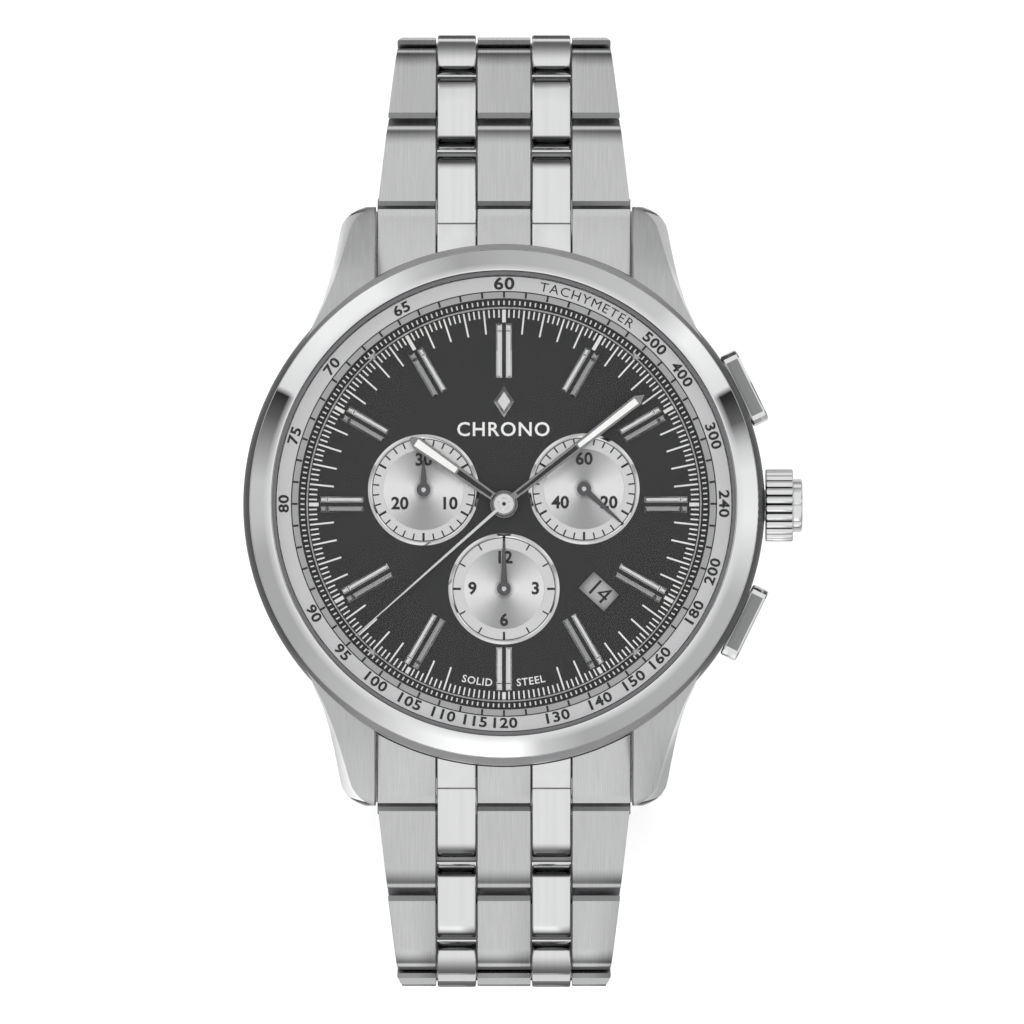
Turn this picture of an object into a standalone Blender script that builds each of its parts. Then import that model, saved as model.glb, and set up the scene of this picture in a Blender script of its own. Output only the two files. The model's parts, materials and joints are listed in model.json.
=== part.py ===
"""Chronograph wristwatch on a closed steel bracelet.

The watch stands dial up on its folding clasp.  The origin is on the flat underside of the clasp cover,
straight below the axis of the hands.  +Z is up out of the dial, +Y points to 12 o'clock and +X to the
crown at 3 o'clock.  Metres.
"""
import math

import bmesh
import bpy
from mathutils import Matrix, Vector

MM = 0.001

# ---- driving dimensions, in millimetres ----
CASE_RADIUS = 21.5
BEZEL_RADIUS = 20.97
CRYSTAL_RADIUS = 18.78
DIAL_RADIUS = 17.8
BORE_RADIUS = 18.0
UPPER_BORE_RADIUS = 18.9
RUN = 0.05                     # running clearance of shafts and tubes
LUG_BAR = (21.4, 0.55)         # distance from the hands' axis and height of the bars between the lugs
LUG_BAR_HALF = 11.8
STEM_BORE = 1.35               # bores through the case wall
PUSH_BORE = 1.25
STEM_RADIUS = 0.61
PUSH_RADIUS = 0.6

# heights above the outer face of the case back
BACK_TOP = 1.3
CASE_BOTTOM = 1.6
AXIS_HEIGHT = 4.6              # crown stem and push pieces
PLATE_LOW, PLATE_HIGH = 3.6, 5.75
DIAL_LOW, DIAL_HIGH = 6.5, 6.9
CASE_TOP = 8.1
GLASS_LOW, GLASS_HIGH = 8.9, 10.6
SMALL_HANDS = (7.12, 7.24)
HOUR_HAND = (7.5, 7.7)
MINUTE_HAND = (7.9, 8.08)
CHRONO_HAND = (8.28, 8.42)

# bracelet: the centre lines of its pins, walking down from the end link
LINK_PITCH = 6.9
LINK_HALF = 1.5                # half the thickness of a link
FIRST_PIN_Y = 24.3
FIRST_PIN_HEIGHT = 2.2         # above the case back
LINK_SLOPES = (10.0, 26.0, 84.0, 93.0, 98.0, 106.0, 126.0, 148.0, 168.0)
CENTRE_HALF = 2.2              # half width of the centre column
COLUMN_GAP = 0.1
TONGUE_WIDTH = 3.2             # the narrow polished columns
WIDTH_AT_CASE = 20.9
WIDTH_AT_CLASP = 17.0
TAPER_LINKS = 2.5              # links over which the bracelet narrows

# clasp
LAST_PIN_Z = 3.8
HINGE_INSET = 4.66             # from the bracelet's last pin to the clasp hinge, along Y
HINGE_Z = 2.6
BARREL_RADIUS = 1.1
BAR_RADIUS = 0.5
BAR_BORE = BAR_RADIUS + RUN
WALL_OUT, WALL_IN = 8.5, 7.7
BLADE_HALF = 7.5

# functions of the dial: centre and the angle its hand shows, clockwise from 12, in degrees
MINUTE_COUNTER = (-6.63, 1.2)
SMALL_SECONDS = (6.6, 1.28)
HOUR_COUNTER = (0.0, -6.96)
HOUR_ANGLE, MINUTE_ANGLE, CHRONO_ANGLE, SECONDS_ANGLE = 305.1, 52.1, 228.4, 132.0
DATE_ANGLE, DATE_RADIUS = 132.5, 10.6
DATE_LENGTH, DATE_WIDTH = 2.9, 1.9
BATTERY_PLACE = (0.0, 8.6)
PUSHER_ANGLES = (26.0, -26.0)  # from 3 o'clock
BATON_HALF = 0.65
BATON_REACH = ((10.46, 14.9), (10.55, 14.6), (11.25, 15.1), (11.6, 15.1), (10.8, 15.1), (10.75, 15.4),
               (11.8, 15.3))   # from 12 round to 6 o'clock; the left half mirrors the right

STEEL = (0.56, 0.57, 0.58)
DARK_STEEL = (0.30, 0.31, 0.32)
BRASS = (0.72, 0.60, 0.36)
BLACK = (0.03, 0.03, 0.035)

# ---- the bracelet's path, worked out from the clasp upward ----
drop = sum(LINK_PITCH * math.sin(math.radians(slope)) for slope in LINK_SLOPES)
FIRST_PIN_Z = LAST_PIN_Z + drop
CASE_Z = FIRST_PIN_Z - FIRST_PIN_HEIGHT


def pin_places():
    """(y, z) of every bracelet pin on the 12 o'clock side, from the end link to the clasp."""
    places = [(FIRST_PIN_Y, FIRST_PIN_Z)]
    for slope in LINK_SLOPES:
        y, z = places[-1]
        angle = math.radians(slope)
        places.append((y + LINK_PITCH * math.cos(angle), z - LINK_PITCH * math.sin(angle)))
    return places


PINS = pin_places()
HINGE_Y = PINS[-1][0] - HINGE_INSET

for old in list(bpy.data.objects):
    bpy.data.objects.remove(old, do_unlink=True)

watch = bpy.data.collections.new("chronograph_wristwatch")
cutters = bpy.data.collections.new("cutters")
for group in (watch, cutters):
    bpy.context.scene.collection.children.link(group)

# outline axes: an outline drawn in (u, v) and pushed out along w
FLAT = Matrix.Identity(4)                                              # u, v, w = X, Y, Z
SIDE = Matrix(((0, 0, 1, 0), (1, 0, 0, 0), (0, 1, 0, 0), (0, 0, 0, 1)))  # u, v, w = Y, Z, X


def material(name, colour, roughness, metallic):
    """A Principled material of its own for one sub-part."""
    made = bpy.data.materials.new(name)
    made.use_nodes = True
    shader = made.node_tree.nodes["Principled BSDF"]
    shader.inputs["Base Color"].default_value = (*colour, 1.0)
    shader.inputs["Roughness"].default_value = roughness
    shader.inputs["Metallic"].default_value = metallic
    return made


def at(height):
    """World height in millimetres of a height above the case back."""
    return CASE_Z + height


def link_in(obj, group):
    """Put an object in a collection, and hide it from the build when it only cuts."""
    group.objects.link(obj)
    if group is cutters:
        obj.hide_render = True
        obj.display_type = "WIRE"
    return obj


def finish(obj, colour, roughness, metallic):
    """Give a sub-part its own material and smooth shading."""
    obj.data.materials.clear()
    obj.data.materials.append(material(obj.name + "_finish", colour, roughness, metallic))
    for face in obj.data.polygons:
        face.use_smooth = True
    obj.data.set_sharp_from_angle(angle=math.radians(35))
    return obj


def circle(radius, count, centre=(0.0, 0.0), start=0.0, turn=360.0, closed=True):
    """Points along a circle or an arc, in degrees."""
    steps = count if closed else count - 1
    points = []
    for i in range(count):
        angle = math.radians(start + turn * i / steps)
        points.append((centre[0] + radius * math.cos(angle), centre[1] + radius * math.sin(angle)))
    return points


def arc(radius, count, centre, start, end):
    """Points along an arc, both ends included."""
    return circle(radius, count, centre, start, end - start, closed=False)


def clock(radius, angle):
    """A point at a clock angle, clockwise from 12 o'clock."""
    turn = math.radians(angle)
    return (radius * math.sin(turn), radius * math.cos(turn))


def outline_solid(name, loops, low, high, axes=FLAT, group=None):
    """A flat outline, with any holes as further loops, pushed out from low to high along w."""
    curve = bpy.data.curves.new(name, "CURVE")
    curve.dimensions = "2D"
    curve.fill_mode = "BOTH"
    curve.extrude = (high - low) / 2 * MM
    for loop in loops:
        spline = curve.splines.new("POLY")
        spline.points.add(len(loop) - 1)
        for point, (u, v) in zip(spline.points, loop):
            point.co = (u * MM, v * MM, 0.0, 1.0)
        spline.use_cyclic_u = True
    guide = bpy.data.objects.new(name + "_outline", curve)
    bpy.context.scene.collection.objects.link(guide)
    mesh = bpy.data.meshes.new_from_object(guide.evaluated_get(bpy.context.evaluated_depsgraph_get()))
    bpy.data.objects.remove(guide, do_unlink=True)
    bpy.data.curves.remove(curve)
    mesh.name = name
    shape = bmesh.new()
    shape.from_mesh(mesh)
    bmesh.ops.remove_doubles(shape, verts=shape.verts, dist=0.002 * MM)
    lift = Matrix.Translation((0.0, 0.0, (high + low) / 2 * MM))
    bmesh.ops.transform(shape, matrix=axes @ lift, verts=shape.verts)
    bmesh.ops.recalc_face_normals(shape, faces=shape.faces)
    shape.to_mesh(mesh)
    shape.free()
    obj = bpy.data.objects.new(name, mesh)
    return link_in(obj, cutters if group is None else group)


def turned(name, profile, steps, group=None, whole=True):
    """A (radius, height) profile turned about Z; whole joins the profile's last point to its first."""
    mesh = bpy.data.meshes.new(name)
    count = len(profile)
    edges = [(i, i + 1) for i in range(count - 1)]
    if whole:
        edges.append((count - 1, 0))
    mesh.from_pydata([(r * MM, 0.0, z * MM) for r, z in profile], edges, [])
    obj = bpy.data.objects.new(name, mesh)
    link_in(obj, cutters if group is None else group)
    screw = obj.modifiers.new("turn", "SCREW")
    screw.axis = "Z"
    screw.steps = screw.render_steps = steps
    screw.use_merge_vertices = True
    screw.merge_threshold = 0.000001
    return obj


def cylinder(name, radius, low, high, place=(0.0, 0.0), steps=16, axes=FLAT, group=None):
    """A round bar along w between low and high, its centre at place in (u, v)."""
    shape = bmesh.new()
    lift = Matrix.Translation((place[0] * MM, place[1] * MM, (low + high) / 2 * MM))
    bmesh.ops.create_cone(shape, cap_ends=True, segments=steps, radius1=radius * MM,
                          radius2=radius * MM, depth=(high - low) * MM, matrix=axes @ lift)
    mesh = bpy.data.meshes.new(name)
    shape.to_mesh(mesh)
    shape.free()
    return link_in(bpy.data.objects.new(name, mesh), cutters if group is None else group)


def block(name, low, high, group=None):
    """A box between two corners."""
    shape = bmesh.new()
    size = [(b - a) * MM for a, b in zip(low, high)]
    middle = [(a + b) / 2 * MM for a, b in zip(low, high)]
    place = Matrix.Translation(middle) @ Matrix.Diagonal((*size, 1.0))
    bmesh.ops.create_cube(shape, size=1.0, matrix=place)
    mesh = bpy.data.meshes.new(name)
    shape.to_mesh(mesh)
    shape.free()
    return link_in(bpy.data.objects.new(name, mesh), cutters if group is None else group)


def boolean(obj, tools, operation):
    """Cut, join or intersect an object with others."""
    for tool in tools:
        step = obj.modifiers.new(operation.lower(), "BOOLEAN")
        step.operation = operation
        step.solver = "EXACT"
        step.object = tool
    return obj


def place(obj, where, spin=(0.0, 0.0, 0.0)):
    """Stand an object's origin at a place in millimetres, turned by degrees about X, Y and Z."""
    obj.location = Vector(where) * MM
    obj.rotation_euler = [math.radians(angle) for angle in spin]
    return obj


def raised(obj):
    """Lift an object modelled in heights above the case back to its place."""
    return place(obj, (0.0, 0.0, CASE_Z))


# ---- case ----
def lug_tools():
    """The four lugs as one tool: a plan outline crossed with a side outline, mirrored twice."""
    plan = [(10.6, 17.2), (10.6, 24.2), (11.3, 24.6), (12.6, 24.15), (13.5, 23.0), (14.5, 18.6),
            (15.9, 14.5), (16.6, 12.0), (15.9, 12.46)]
    side = [(11.0, 1.7), (18.4, 1.5), (20.4, -0.7), (23.9, -0.7), (24.8, 0.2), (24.9, 2.4),
            (24.3, 3.5), (21.5, 5.5), (18.6, 7.1), (11.0, 7.6)]
    crossing = raised(outline_solid("lug_side", [side], 9.0, 18.0, SIDE))
    lug = raised(outline_solid("lug_plan", [plan], -1.0, 8.0))
    boolean(lug, [crossing], "INTERSECT")
    mirror = lug.modifiers.new("four", "MIRROR")
    mirror.use_axis = (True, True, False)
    mirror.merge_threshold = 0.00001
    return lug


def radial(obj, angle):
    """Turn a tool or part that lies along +X at the stem's height to an angle about the hands' axis."""
    return place(obj, (0.0, 0.0, at(AXIS_HEIGHT)), (0.0, 0.0, angle))


def make_case():
    profile = [(UPPER_BORE_RADIUS, CASE_TOP), (21.2, CASE_TOP), (CASE_RADIUS, 7.5), (CASE_RADIUS, 2.7),
               (20.6, CASE_BOTTOM), (BORE_RADIUS, CASE_BOTTOM), (BORE_RADIUS, DIAL_HIGH),
               (UPPER_BORE_RADIUS, DIAL_HIGH)]
    case = raised(turned("case_middle", profile, 56, watch))
    boolean(case, [lug_tools()], "UNION")
    bores = [radial(cylinder("stem_bore", STEM_BORE, 16.0, 23.0, axes=SIDE), 0.0)]
    for number, angle in enumerate(PUSHER_ANGLES):
        bores.append(radial(cylinder(f"push_bore_{number}", PUSH_BORE, 16.0, 23.0, axes=SIDE), angle))
        bores.append(radial(block(f"push_pocket_{number}", (20.35, -3.35, -1.75), (24.0, 3.35, 1.75)),
                            angle))
    for side in (1, -1):
        bores.append(cylinder(f"bar_bore_{side + 1}", BAR_BORE, -LUG_BAR_HALF - 0.1, LUG_BAR_HALF + 0.1,
                              (side * LUG_BAR[0], at(LUG_BAR[1])), 10, SIDE))
    boolean(case, bores, "DIFFERENCE")
    finish(case, STEEL, 0.3, 1.0)

    bezel = [(19.15, 10.45), (19.25, 10.45), (20.8, 8.95), (BEZEL_RADIUS, 8.7), (BEZEL_RADIUS, 8.15),
             (18.85, 8.15), (18.85, 8.8), (19.15, 8.8)]
    finish(raised(turned("bezel", bezel, 56, watch)), STEEL, 0.08, 1.0)

    glass = [(0.0, GLASS_HIGH), (CRYSTAL_RADIUS - 0.3, GLASS_HIGH), (CRYSTAL_RADIUS, GLASS_HIGH - 0.3),
             (CRYSTAL_RADIUS, GLASS_LOW), (0.0, GLASS_LOW)]
    finish(raised(turned("crystal", glass, 48, watch, whole=False)), (0.9, 0.95, 0.97), 0.02, 0.0)

    seal = [(18.82, 10.2), (19.11, 10.2), (19.11, 8.85), (18.82, 8.85)]
    finish(raised(turned("crystal_gasket", seal, 48, watch)), DARK_STEEL, 0.5, 0.0)

    flange = [(18.7, 8.75), (18.75, 8.7), (18.75, 6.96), (16.1, 6.96), (16.1, 7.15), (17.0, 8.2)]
    finish(raised(turned("flange_ring", flange, 48, watch)), (0.75, 0.75, 0.76), 0.3, 1.0)

    back = [(0.0, BACK_TOP), (16.8, BACK_TOP), (16.8, 2.2), (17.9, 2.2), (17.9, BACK_TOP),
            (18.6, BACK_TOP), (18.6, 0.8), (17.8, 0.0), (0.0, 0.0)]
    finish(raised(turned("case_back", back, 48, watch, whole=False)), STEEL, 0.3, 1.0)

    ring = [(18.05, 1.56), (18.5, 1.56), (18.5, 1.34), (18.05, 1.34)]
    finish(raised(turned("case_back_gasket", ring, 40, watch)), BLACK, 0.7, 0.0)


# ---- dial ----
def baton_tools():
    """The twelve raised indices, as bars that sit on the dial plate."""
    bars = []
    for hour in range(12):
        near, far = BATON_REACH[min(hour, 12 - hour)]
        bar = block(f"baton_{hour}", (-BATON_HALF, near, DIAL_HIGH - 0.1), (BATON_HALF, far, DIAL_HIGH + 0.3))
        bars.append(place(bar, (0.0, 0.0, CASE_Z), (0.0, 0.0, -30.0 * hour)))
    return bars


def make_dial():
    turn = Matrix.Rotation(-math.radians(DATE_ANGLE), 2)
    corners = ((-0.5, -0.5), (0.5, -0.5), (0.5, 0.5), (-0.5, 0.5))
    window = [tuple(turn @ Vector((u * DATE_WIDTH, DATE_RADIUS + v * DATE_LENGTH))) for u, v in corners]
    loops = [circle(DIAL_RADIUS, 48), circle(1.15, 16), window]
    loops += [circle(0.4, 8, centre) for centre in (MINUTE_COUNTER, SMALL_SECONDS, HOUR_COUNTER)]
    dial = raised(outline_solid("dial", loops, DIAL_LOW, DIAL_HIGH, group=watch))
    boolean(dial, baton_tools(), "UNION")
    finish(dial, (0.045, 0.046, 0.05), 0.4, 0.3)


# ---- movement ----
def make_movement():
    stem_way = radial(cylinder("stem_way", 0.8, 8.8, 18.5, axes=SIDE), 0.0)
    push_ways = [radial(cylinder(f"push_way_{number}", 0.95, 14.5, 18.5, axes=SIDE), angle)
                 for number, angle in enumerate(PUSHER_ANGLES)]
    holder = [(15.15, 6.2), (17.85, 6.2), (17.85, 2.7), (16.9, 2.4), (15.15, 2.4)]
    ring = raised(turned("movement_holder", holder, 40, watch))
    boolean(ring, [stem_way] + push_ways, "DIFFERENCE")
    finish(ring, (0.75, 0.74, 0.70), 0.6, 0.0)

    holes = [circle(0.75, 12)]
    holes += [circle(0.35, 8, centre) for centre in (MINUTE_COUNTER, SMALL_SECONDS, HOUR_COUNTER)]
    loops = [circle(15.0, 40)] + holes
    plate = raised(outline_solid("main_plate", loops, PLATE_LOW, PLATE_HIGH, group=watch))
    pocket = raised(cylinder("battery_pocket", 4.95, 3.0, 5.3, BATTERY_PLACE, 20))
    lever_way = radial(block("lever_way", (11.0, -1.4, -2.0), (14.0, 1.4, 2.0)), 0.0)
    boolean(plate, [pocket, lever_way, stem_way], "DIFFERENCE")
    finish(plate, BRASS, 0.35, 1.0)

    board = [circle(14.4, 32), circle(5.05, 20, BATTERY_PLACE)]
    finish(raised(outline_solid("circuit_board", board, 2.9, 3.4, group=watch)), (0.05, 0.25, 0.12), 0.5, 0.0)
    cell = raised(cylinder("battery", 4.75, 2.5, 5.2, BATTERY_PLACE, 20, group=watch))
    finish(cell, STEEL, 0.25, 1.0)

    disc = [(9.0, 6.3), (13.0, 6.3), (13.0, 6.05), (9.0, 6.05)]
    finish(raised(turned("date_ring", disc, 40, watch)), (0.70, 0.70, 0.71), 0.4, 0.0)

    wheel = [(0.72, 7.45), (1.0, 7.45), (1.0, 6.35), (3.4, 6.35), (3.4, 6.1), (0.72, 6.1)]
    finish(raised(turned("hour_wheel", wheel, 16, watch)), BRASS, 0.3, 1.0)
    pinion = [(0.36, 7.85), (0.66, 7.85), (0.66, 4.3), (0.36, 4.3)]
    finish(raised(turned("cannon_pinion", pinion, 12, watch)), BRASS, 0.3, 1.0)
    finish(raised(cylinder("chrono_arbor", 0.3, 4.0, 8.25, steps=10, group=watch)), DARK_STEEL, 0.2, 1.0)


# ---- hands ----
def hand_outline(hub, blade):
    """A hub circle with a symmetrical blade on it; blade lists (half width, distance) from root to tip."""
    root = blade[0][0]
    open_angle = math.degrees(math.asin(root / hub))
    points = arc(hub, 13, (0.0, 0.0), 90.0 + open_angle, 450.0 - open_angle)
    points += [(half, reach) for half, reach in blade[1:]]
    points += [(-half, reach) for half, reach in reversed(blade[1:]) if half > 0.0]
    return points


def make_centre_hands():
    hour = hand_outline(1.4, [(0.38, 0.0), (0.5, 8.95), (0.0, 9.45)])
    obj = outline_solid("hour_hand", [hour, circle(1.04, 12)], *HOUR_HAND, group=watch)
    finish(place(obj, (0.0, 0.0, CASE_Z), (0.0, 0.0, -HOUR_ANGLE)), STEEL, 0.15, 1.0)
    minute = hand_outline(1.1, [(0.30, 0.0), (0.42, 14.1), (0.0, 14.75)])
    obj = outline_solid("minute_hand", [minute, circle(0.70, 12)], *MINUTE_HAND, group=watch)
    finish(place(obj, (0.0, 0.0, CASE_Z), (0.0, 0.0, -MINUTE_ANGLE)), STEEL, 0.15, 1.0)
    chrono = hand_outline(0.7, [(0.14, 0.0), (0.06, 15.0)])
    obj = outline_solid("chrono_seconds_hand", [chrono], *CHRONO_HAND, group=watch)
    finish(place(obj, (0.0, 0.0, CASE_Z), (0.0, 0.0, -CHRONO_ANGLE)), STEEL, 0.15, 1.0)


def make_small_hand(name, centre, angle, length):
    """A tapered hand with the arbor it sits on."""
    outline = hand_outline(0.58, [(0.22, 0.0), (0.07, length)])
    obj = outline_solid(name, [outline], *SMALL_HANDS, group=watch)
    arbor = cylinder(name + "_arbor", 0.25, 4.2, 7.3, steps=10)
    for piece in (obj, arbor):
        place(piece, (*centre, CASE_Z), (0.0, 0.0, -angle))
    boolean(obj, [arbor], "UNION")
    finish(obj, DARK_STEEL, 0.3, 1.0)


# ---- crown and push pieces ----
def make_crown():
    teeth = []
    for i in range(48):
        teeth += circle(3.0 if i % 2 else 2.78, 1, start=7.5 * i)
    crown = radial(outline_solid("crown", [teeth], 21.75, 23.85, SIDE, watch), 0.0)
    boolean(crown, [radial(cylinder("crown_cap", 2.2, 23.8, 24.63, steps=24, axes=SIDE), 0.0)], "UNION")
    boolean(crown, [radial(cylinder("crown_bore", STEM_RADIUS + RUN, 21.0, 22.9, steps=12, axes=SIDE), 0.0)],
            "DIFFERENCE")
    finish(crown, STEEL, 0.2, 1.0)

    shaft = [(0.0, 22.8), (STEM_RADIUS, 22.8), (STEM_RADIUS, 12.5), (0.35, 12.5), (0.35, 11.7),
             (STEM_RADIUS, 11.7), (STEM_RADIUS, 9.6), (0.0, 9.6)]
    stem = turned("stem", shaft, 12, watch, whole=False)
    finish(place(stem, (0.0, 0.0, at(AXIS_HEIGHT)), (0.0, 90.0, 0.0)), STEEL, 0.3, 1.0)

    fork = [(-1.15, -0.85), (-0.5, -0.85), (-0.5, 0.5), (0.5, 0.5), (0.5, -0.85), (1.15, -0.85),
            (1.15, 1.05), (-1.15, 1.05)]
    finish(radial(outline_solid("setting_lever", [fork], 11.8, 12.4, SIDE, watch), 0.0), BRASS, 0.4, 1.0)

    tube = outline_solid("crown_tube", [circle(1.3, 16), circle(0.68, 12)], 18.4, 21.6, SIDE, watch)
    finish(radial(tube, 0.0), STEEL, 0.3, 1.0)


def make_pusher(name, angle):
    """A spring-loaded push piece: rectangular cap, stem, the tube it runs in and its return spring."""
    cap = radial(block(name, (21.35, -3.2, -1.6), (22.8, 3.2, 1.6), watch), angle)
    bevel = cap.modifiers.new("edges", "BEVEL")
    bevel.width = 0.25 * MM
    bevel.segments = 1
    shaft = radial(cylinder(name + "_shaft", PUSH_RADIUS, 16.9, 21.5, steps=10, axes=SIDE), angle)
    boolean(cap, [shaft], "UNION")
    finish(cap, STEEL, 0.12, 1.0)
    tube = outline_solid(name + "_tube", [circle(1.2, 14), circle(0.66, 12)], 18.4, 20.25, SIDE, watch)
    finish(radial(tube, angle), STEEL, 0.3, 1.0)

    coil = bpy.data.curves.new(name + "_spring", "CURVE")
    coil.dimensions = "3D"
    coil.bevel_depth = 0.09 * MM
    coil.bevel_resolution = 0
    coil.use_fill_caps = True
    spline = coil.splines.new("POLY")
    turns, per_turn, low, high = 3, 8, 20.4, 21.2
    spline.points.add(turns * per_turn)
    for i, point in enumerate(spline.points):
        around = 2.0 * math.pi * i / per_turn
        along = low + (high - low) * i / (turns * per_turn)
        point.co = (along * MM, math.cos(around) * MM, math.sin(around) * MM, 1.0)
    spring = bpy.data.objects.new(name + "_spring", coil)
    watch.objects.link(spring)
    coil.materials.append(material(name + "_spring_finish", STEEL, 0.3, 1.0))
    radial(spring, angle)


# ---- bracelet ----
LAST_LINK_6 = f"link_6h_{len(LINK_SLOPES)}"   # it carries the bore of the clasp's spring bar
COLUMNS = (("left", None, -CENTRE_HALF - 2 * COLUMN_GAP - TONGUE_WIDTH),
           ("centre", -CENTRE_HALF, CENTRE_HALF),
           ("right", CENTRE_HALF + 2 * COLUMN_GAP + TONGUE_WIDTH, None))
TONGUES = ((-CENTRE_HALF - COLUMN_GAP - TONGUE_WIDTH, -CENTRE_HALF - COLUMN_GAP),
           (CENTRE_HALF + COLUMN_GAP, CENTRE_HALF + COLUMN_GAP + TONGUE_WIDTH))
TONGUE_END = 4.4               # far end of a tongue, along the link
SOCKET = LINK_HALF + 0.16      # hollow that the round end of the link before turns in


def width_after(links):
    """Bracelet width after so many links from the case."""
    share = min(links / TAPER_LINKS, 1.0)
    return WIDTH_AT_CASE + (WIDTH_AT_CLASP - WIDTH_AT_CASE) * share


def link_profile():
    """Side outline of the three wide columns: hollow near end, round far end."""
    lip = math.degrees(math.asin(LINK_HALF / SOCKET))
    near = arc(SOCKET, 5, (0.0, 0.0), lip, -35.0)
    far = arc(LINK_HALF, 7, (LINK_PITCH, 0.0), -90.0, 90.0)
    return near + [(2.3, -LINK_HALF)] + far


def tongue_profile(far):
    """Side outline of a narrow column: round end on the pin of the link before."""
    return arc(LINK_HALF, 7, (0.0, 0.0), 90.0, 270.0) + [(far, -LINK_HALF), (far, LINK_HALF)]


def column(name, profile, low, high, near_width=None, far_width=None, group=None):
    """One column of a link; an outer one follows the bracelet's taper."""
    outer = 30.0
    left, right = (-outer if low is None else low), (outer if high is None else high)
    obj = outline_solid(name, [profile], left, right, SIDE, group)
    for vertex in obj.data.vertices:
        if abs(vertex.co.x) > (outer - 1.0) * MM:
            share = vertex.co.y / (LINK_PITCH * MM)
            half = (near_width + (far_width - near_width) * share) / 2 * MM
            vertex.co.x = math.copysign(half, vertex.co.x)
    return obj


def make_link(name, number, pin, slope, side):
    """One link, its origin on the pin nearer the case."""
    near, far = width_after(number - 1), width_after(number)
    spin = (-slope, 0.0, 0.0 if side > 0 else 180.0)
    where = (0.0, side * pin[0], pin[1])
    body = place(column(name, link_profile(), *COLUMNS[1][1:], group=watch), where, spin)
    tools = [column(f"{name}_{label}", link_profile(), low, high, near, far)
             for label, low, high in (COLUMNS[0], COLUMNS[2])]
    tools += [column(f"{name}_tongue_{i}", tongue_profile(TONGUE_END), *reach)
              for i, reach in enumerate(TONGUES)]
    tools.append(block(name + "_core", (-far / 2 + 0.6, 1.95, -1.1), (far / 2 - 0.6, 4.2, 1.1)))
    for tool in tools:
        place(tool, where, spin)
    boolean(body, tools, "UNION")
    if name == LAST_LINK_6:
        bore = cylinder(name + "_bore", BAR_BORE, -10.0, 10.0, (LINK_PITCH, 0.0), 10, SIDE)
        boolean(body, [place(bore, where, spin)], "DIFFERENCE")
    finish(body, STEEL, 0.3, 1.0)


def make_end_link(name, side):
    """The fixed link between the lugs, hollowed to the case, with the slots of the first hinge."""
    half = WIDTH_AT_CASE / 2
    stop = FIRST_PIN_Y - LINK_HALF - 0.2
    body = [(18.0, 1.6), (20.3, -0.2), (stop, -0.2), (stop, 4.25), (18.0, 5.6)]
    round_end = arc(LINK_HALF, 7, (FIRST_PIN_Y, FIRST_PIN_HEIGHT), -90.0, 90.0)
    prong = [(21.9, 0.3)] + round_end + [(21.9, 4.4)]
    obj = outline_solid(name, [body], -half, half, SIDE, watch)
    slots = [outline_solid(f"{name}_{label}", [prong], -half if low_x is None else low_x,
                           half if high_x is None else high_x, SIDE)
             for label, low_x, high_x in COLUMNS]
    hollow = cylinder(name + "_hollow", CASE_RADIUS + 0.12, CASE_BOTTOM - 0.2, 9.0, steps=56)
    under = outline_solid(name + "_under", [[(10.0, -3.0), (20.3, -3.0), (20.3, 1.5), (10.0, 1.5)]],
                          -12.0, 12.0, SIDE)
    bore = cylinder(name + "_bore", BAR_BORE, -12.0, 12.0, LUG_BAR, 10, SIDE)
    for piece in [obj, hollow, under, bore] + slots:
        place(piece, (0.0, 0.0, CASE_Z), (0.0, 0.0, 0.0 if side > 0 else 180.0))
    boolean(obj, slots, "UNION")
    boolean(obj, [hollow, under, bore], "DIFFERENCE")
    finish(obj, STEEL, 0.3, 1.0)


def make_bracelet():
    for hour, side in ((12, 1), (6, -1)):
        make_end_link(f"end_link_{hour}h", side)
        bar = cylinder(f"lug_spring_bar_{hour}h", BAR_RADIUS, -LUG_BAR_HALF, LUG_BAR_HALF,
                       (side * LUG_BAR[0], at(LUG_BAR[1])), 10, SIDE, watch)
        finish(bar, STEEL, 0.3, 1.0)
        for number, slope in enumerate(LINK_SLOPES, 1):
            make_link(f"link_{hour}h_{number}", number, PINS[number - 1], slope, side)
    bar = cylinder("clasp_spring_bar", BAR_RADIUS, -8.3, 8.3, (-PINS[-1][0], LAST_PIN_Z), 10, SIDE, watch)
    finish(bar, STEEL, 0.3, 1.0)


# ---- clasp ----
FLOOR_TOP = 1.0
WALL_TOP = 3.7
BLADE_LOW, BLADE_HIGH = 1.2, 2.0       # middle blade
INNER_LOW, INNER_HIGH = 3.9, 4.7       # inner blade
KNUCKLE_REACH = 3.5                    # the middle blade's barrel between the inner blade's knuckles
FAR_BARREL_REACH = 7.4                 # its barrel between the walls of the cover
HINGES = (-HINGE_Y, HINGE_Y)


def make_cover():
    """The outer shell: floor, two side walls, the bar of its hinge and the ways of the two buttons."""
    floor_end = HINGE_Y - 1.7
    cover = block("clasp_cover", (-WALL_OUT, -floor_end, 0.0), (WALL_OUT, floor_end, FLOOR_TOP), watch)
    low_corners = (arc(HINGE_Z, 5, (-HINGE_Y, HINGE_Z), 180.0, 270.0)
                   + arc(HINGE_Z, 5, (HINGE_Y, HINGE_Z), -90.0, 0.0))
    wall = low_corners + [(HINGE_Y + HINGE_Z, WALL_TOP), (-HINGE_Y - HINGE_Z, WALL_TOP)]
    tools = [outline_solid("cover_wall_left", [wall], -WALL_OUT, -WALL_IN, SIDE),
             outline_solid("cover_wall_right", [wall], WALL_IN, WALL_OUT, SIDE),
             cylinder("cover_hinge_bar", BAR_RADIUS, -8.0, 8.0, (HINGE_Y, HINGE_Z), 10, SIDE)]
    boolean(cover, tools, "UNION")
    boolean(cover, [block("button_way", (-12.0, -2.3, 2.15), (12.0, 2.3, 3.65))], "DIFFERENCE")
    finish(cover, STEEL, 0.25, 1.0)


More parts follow.
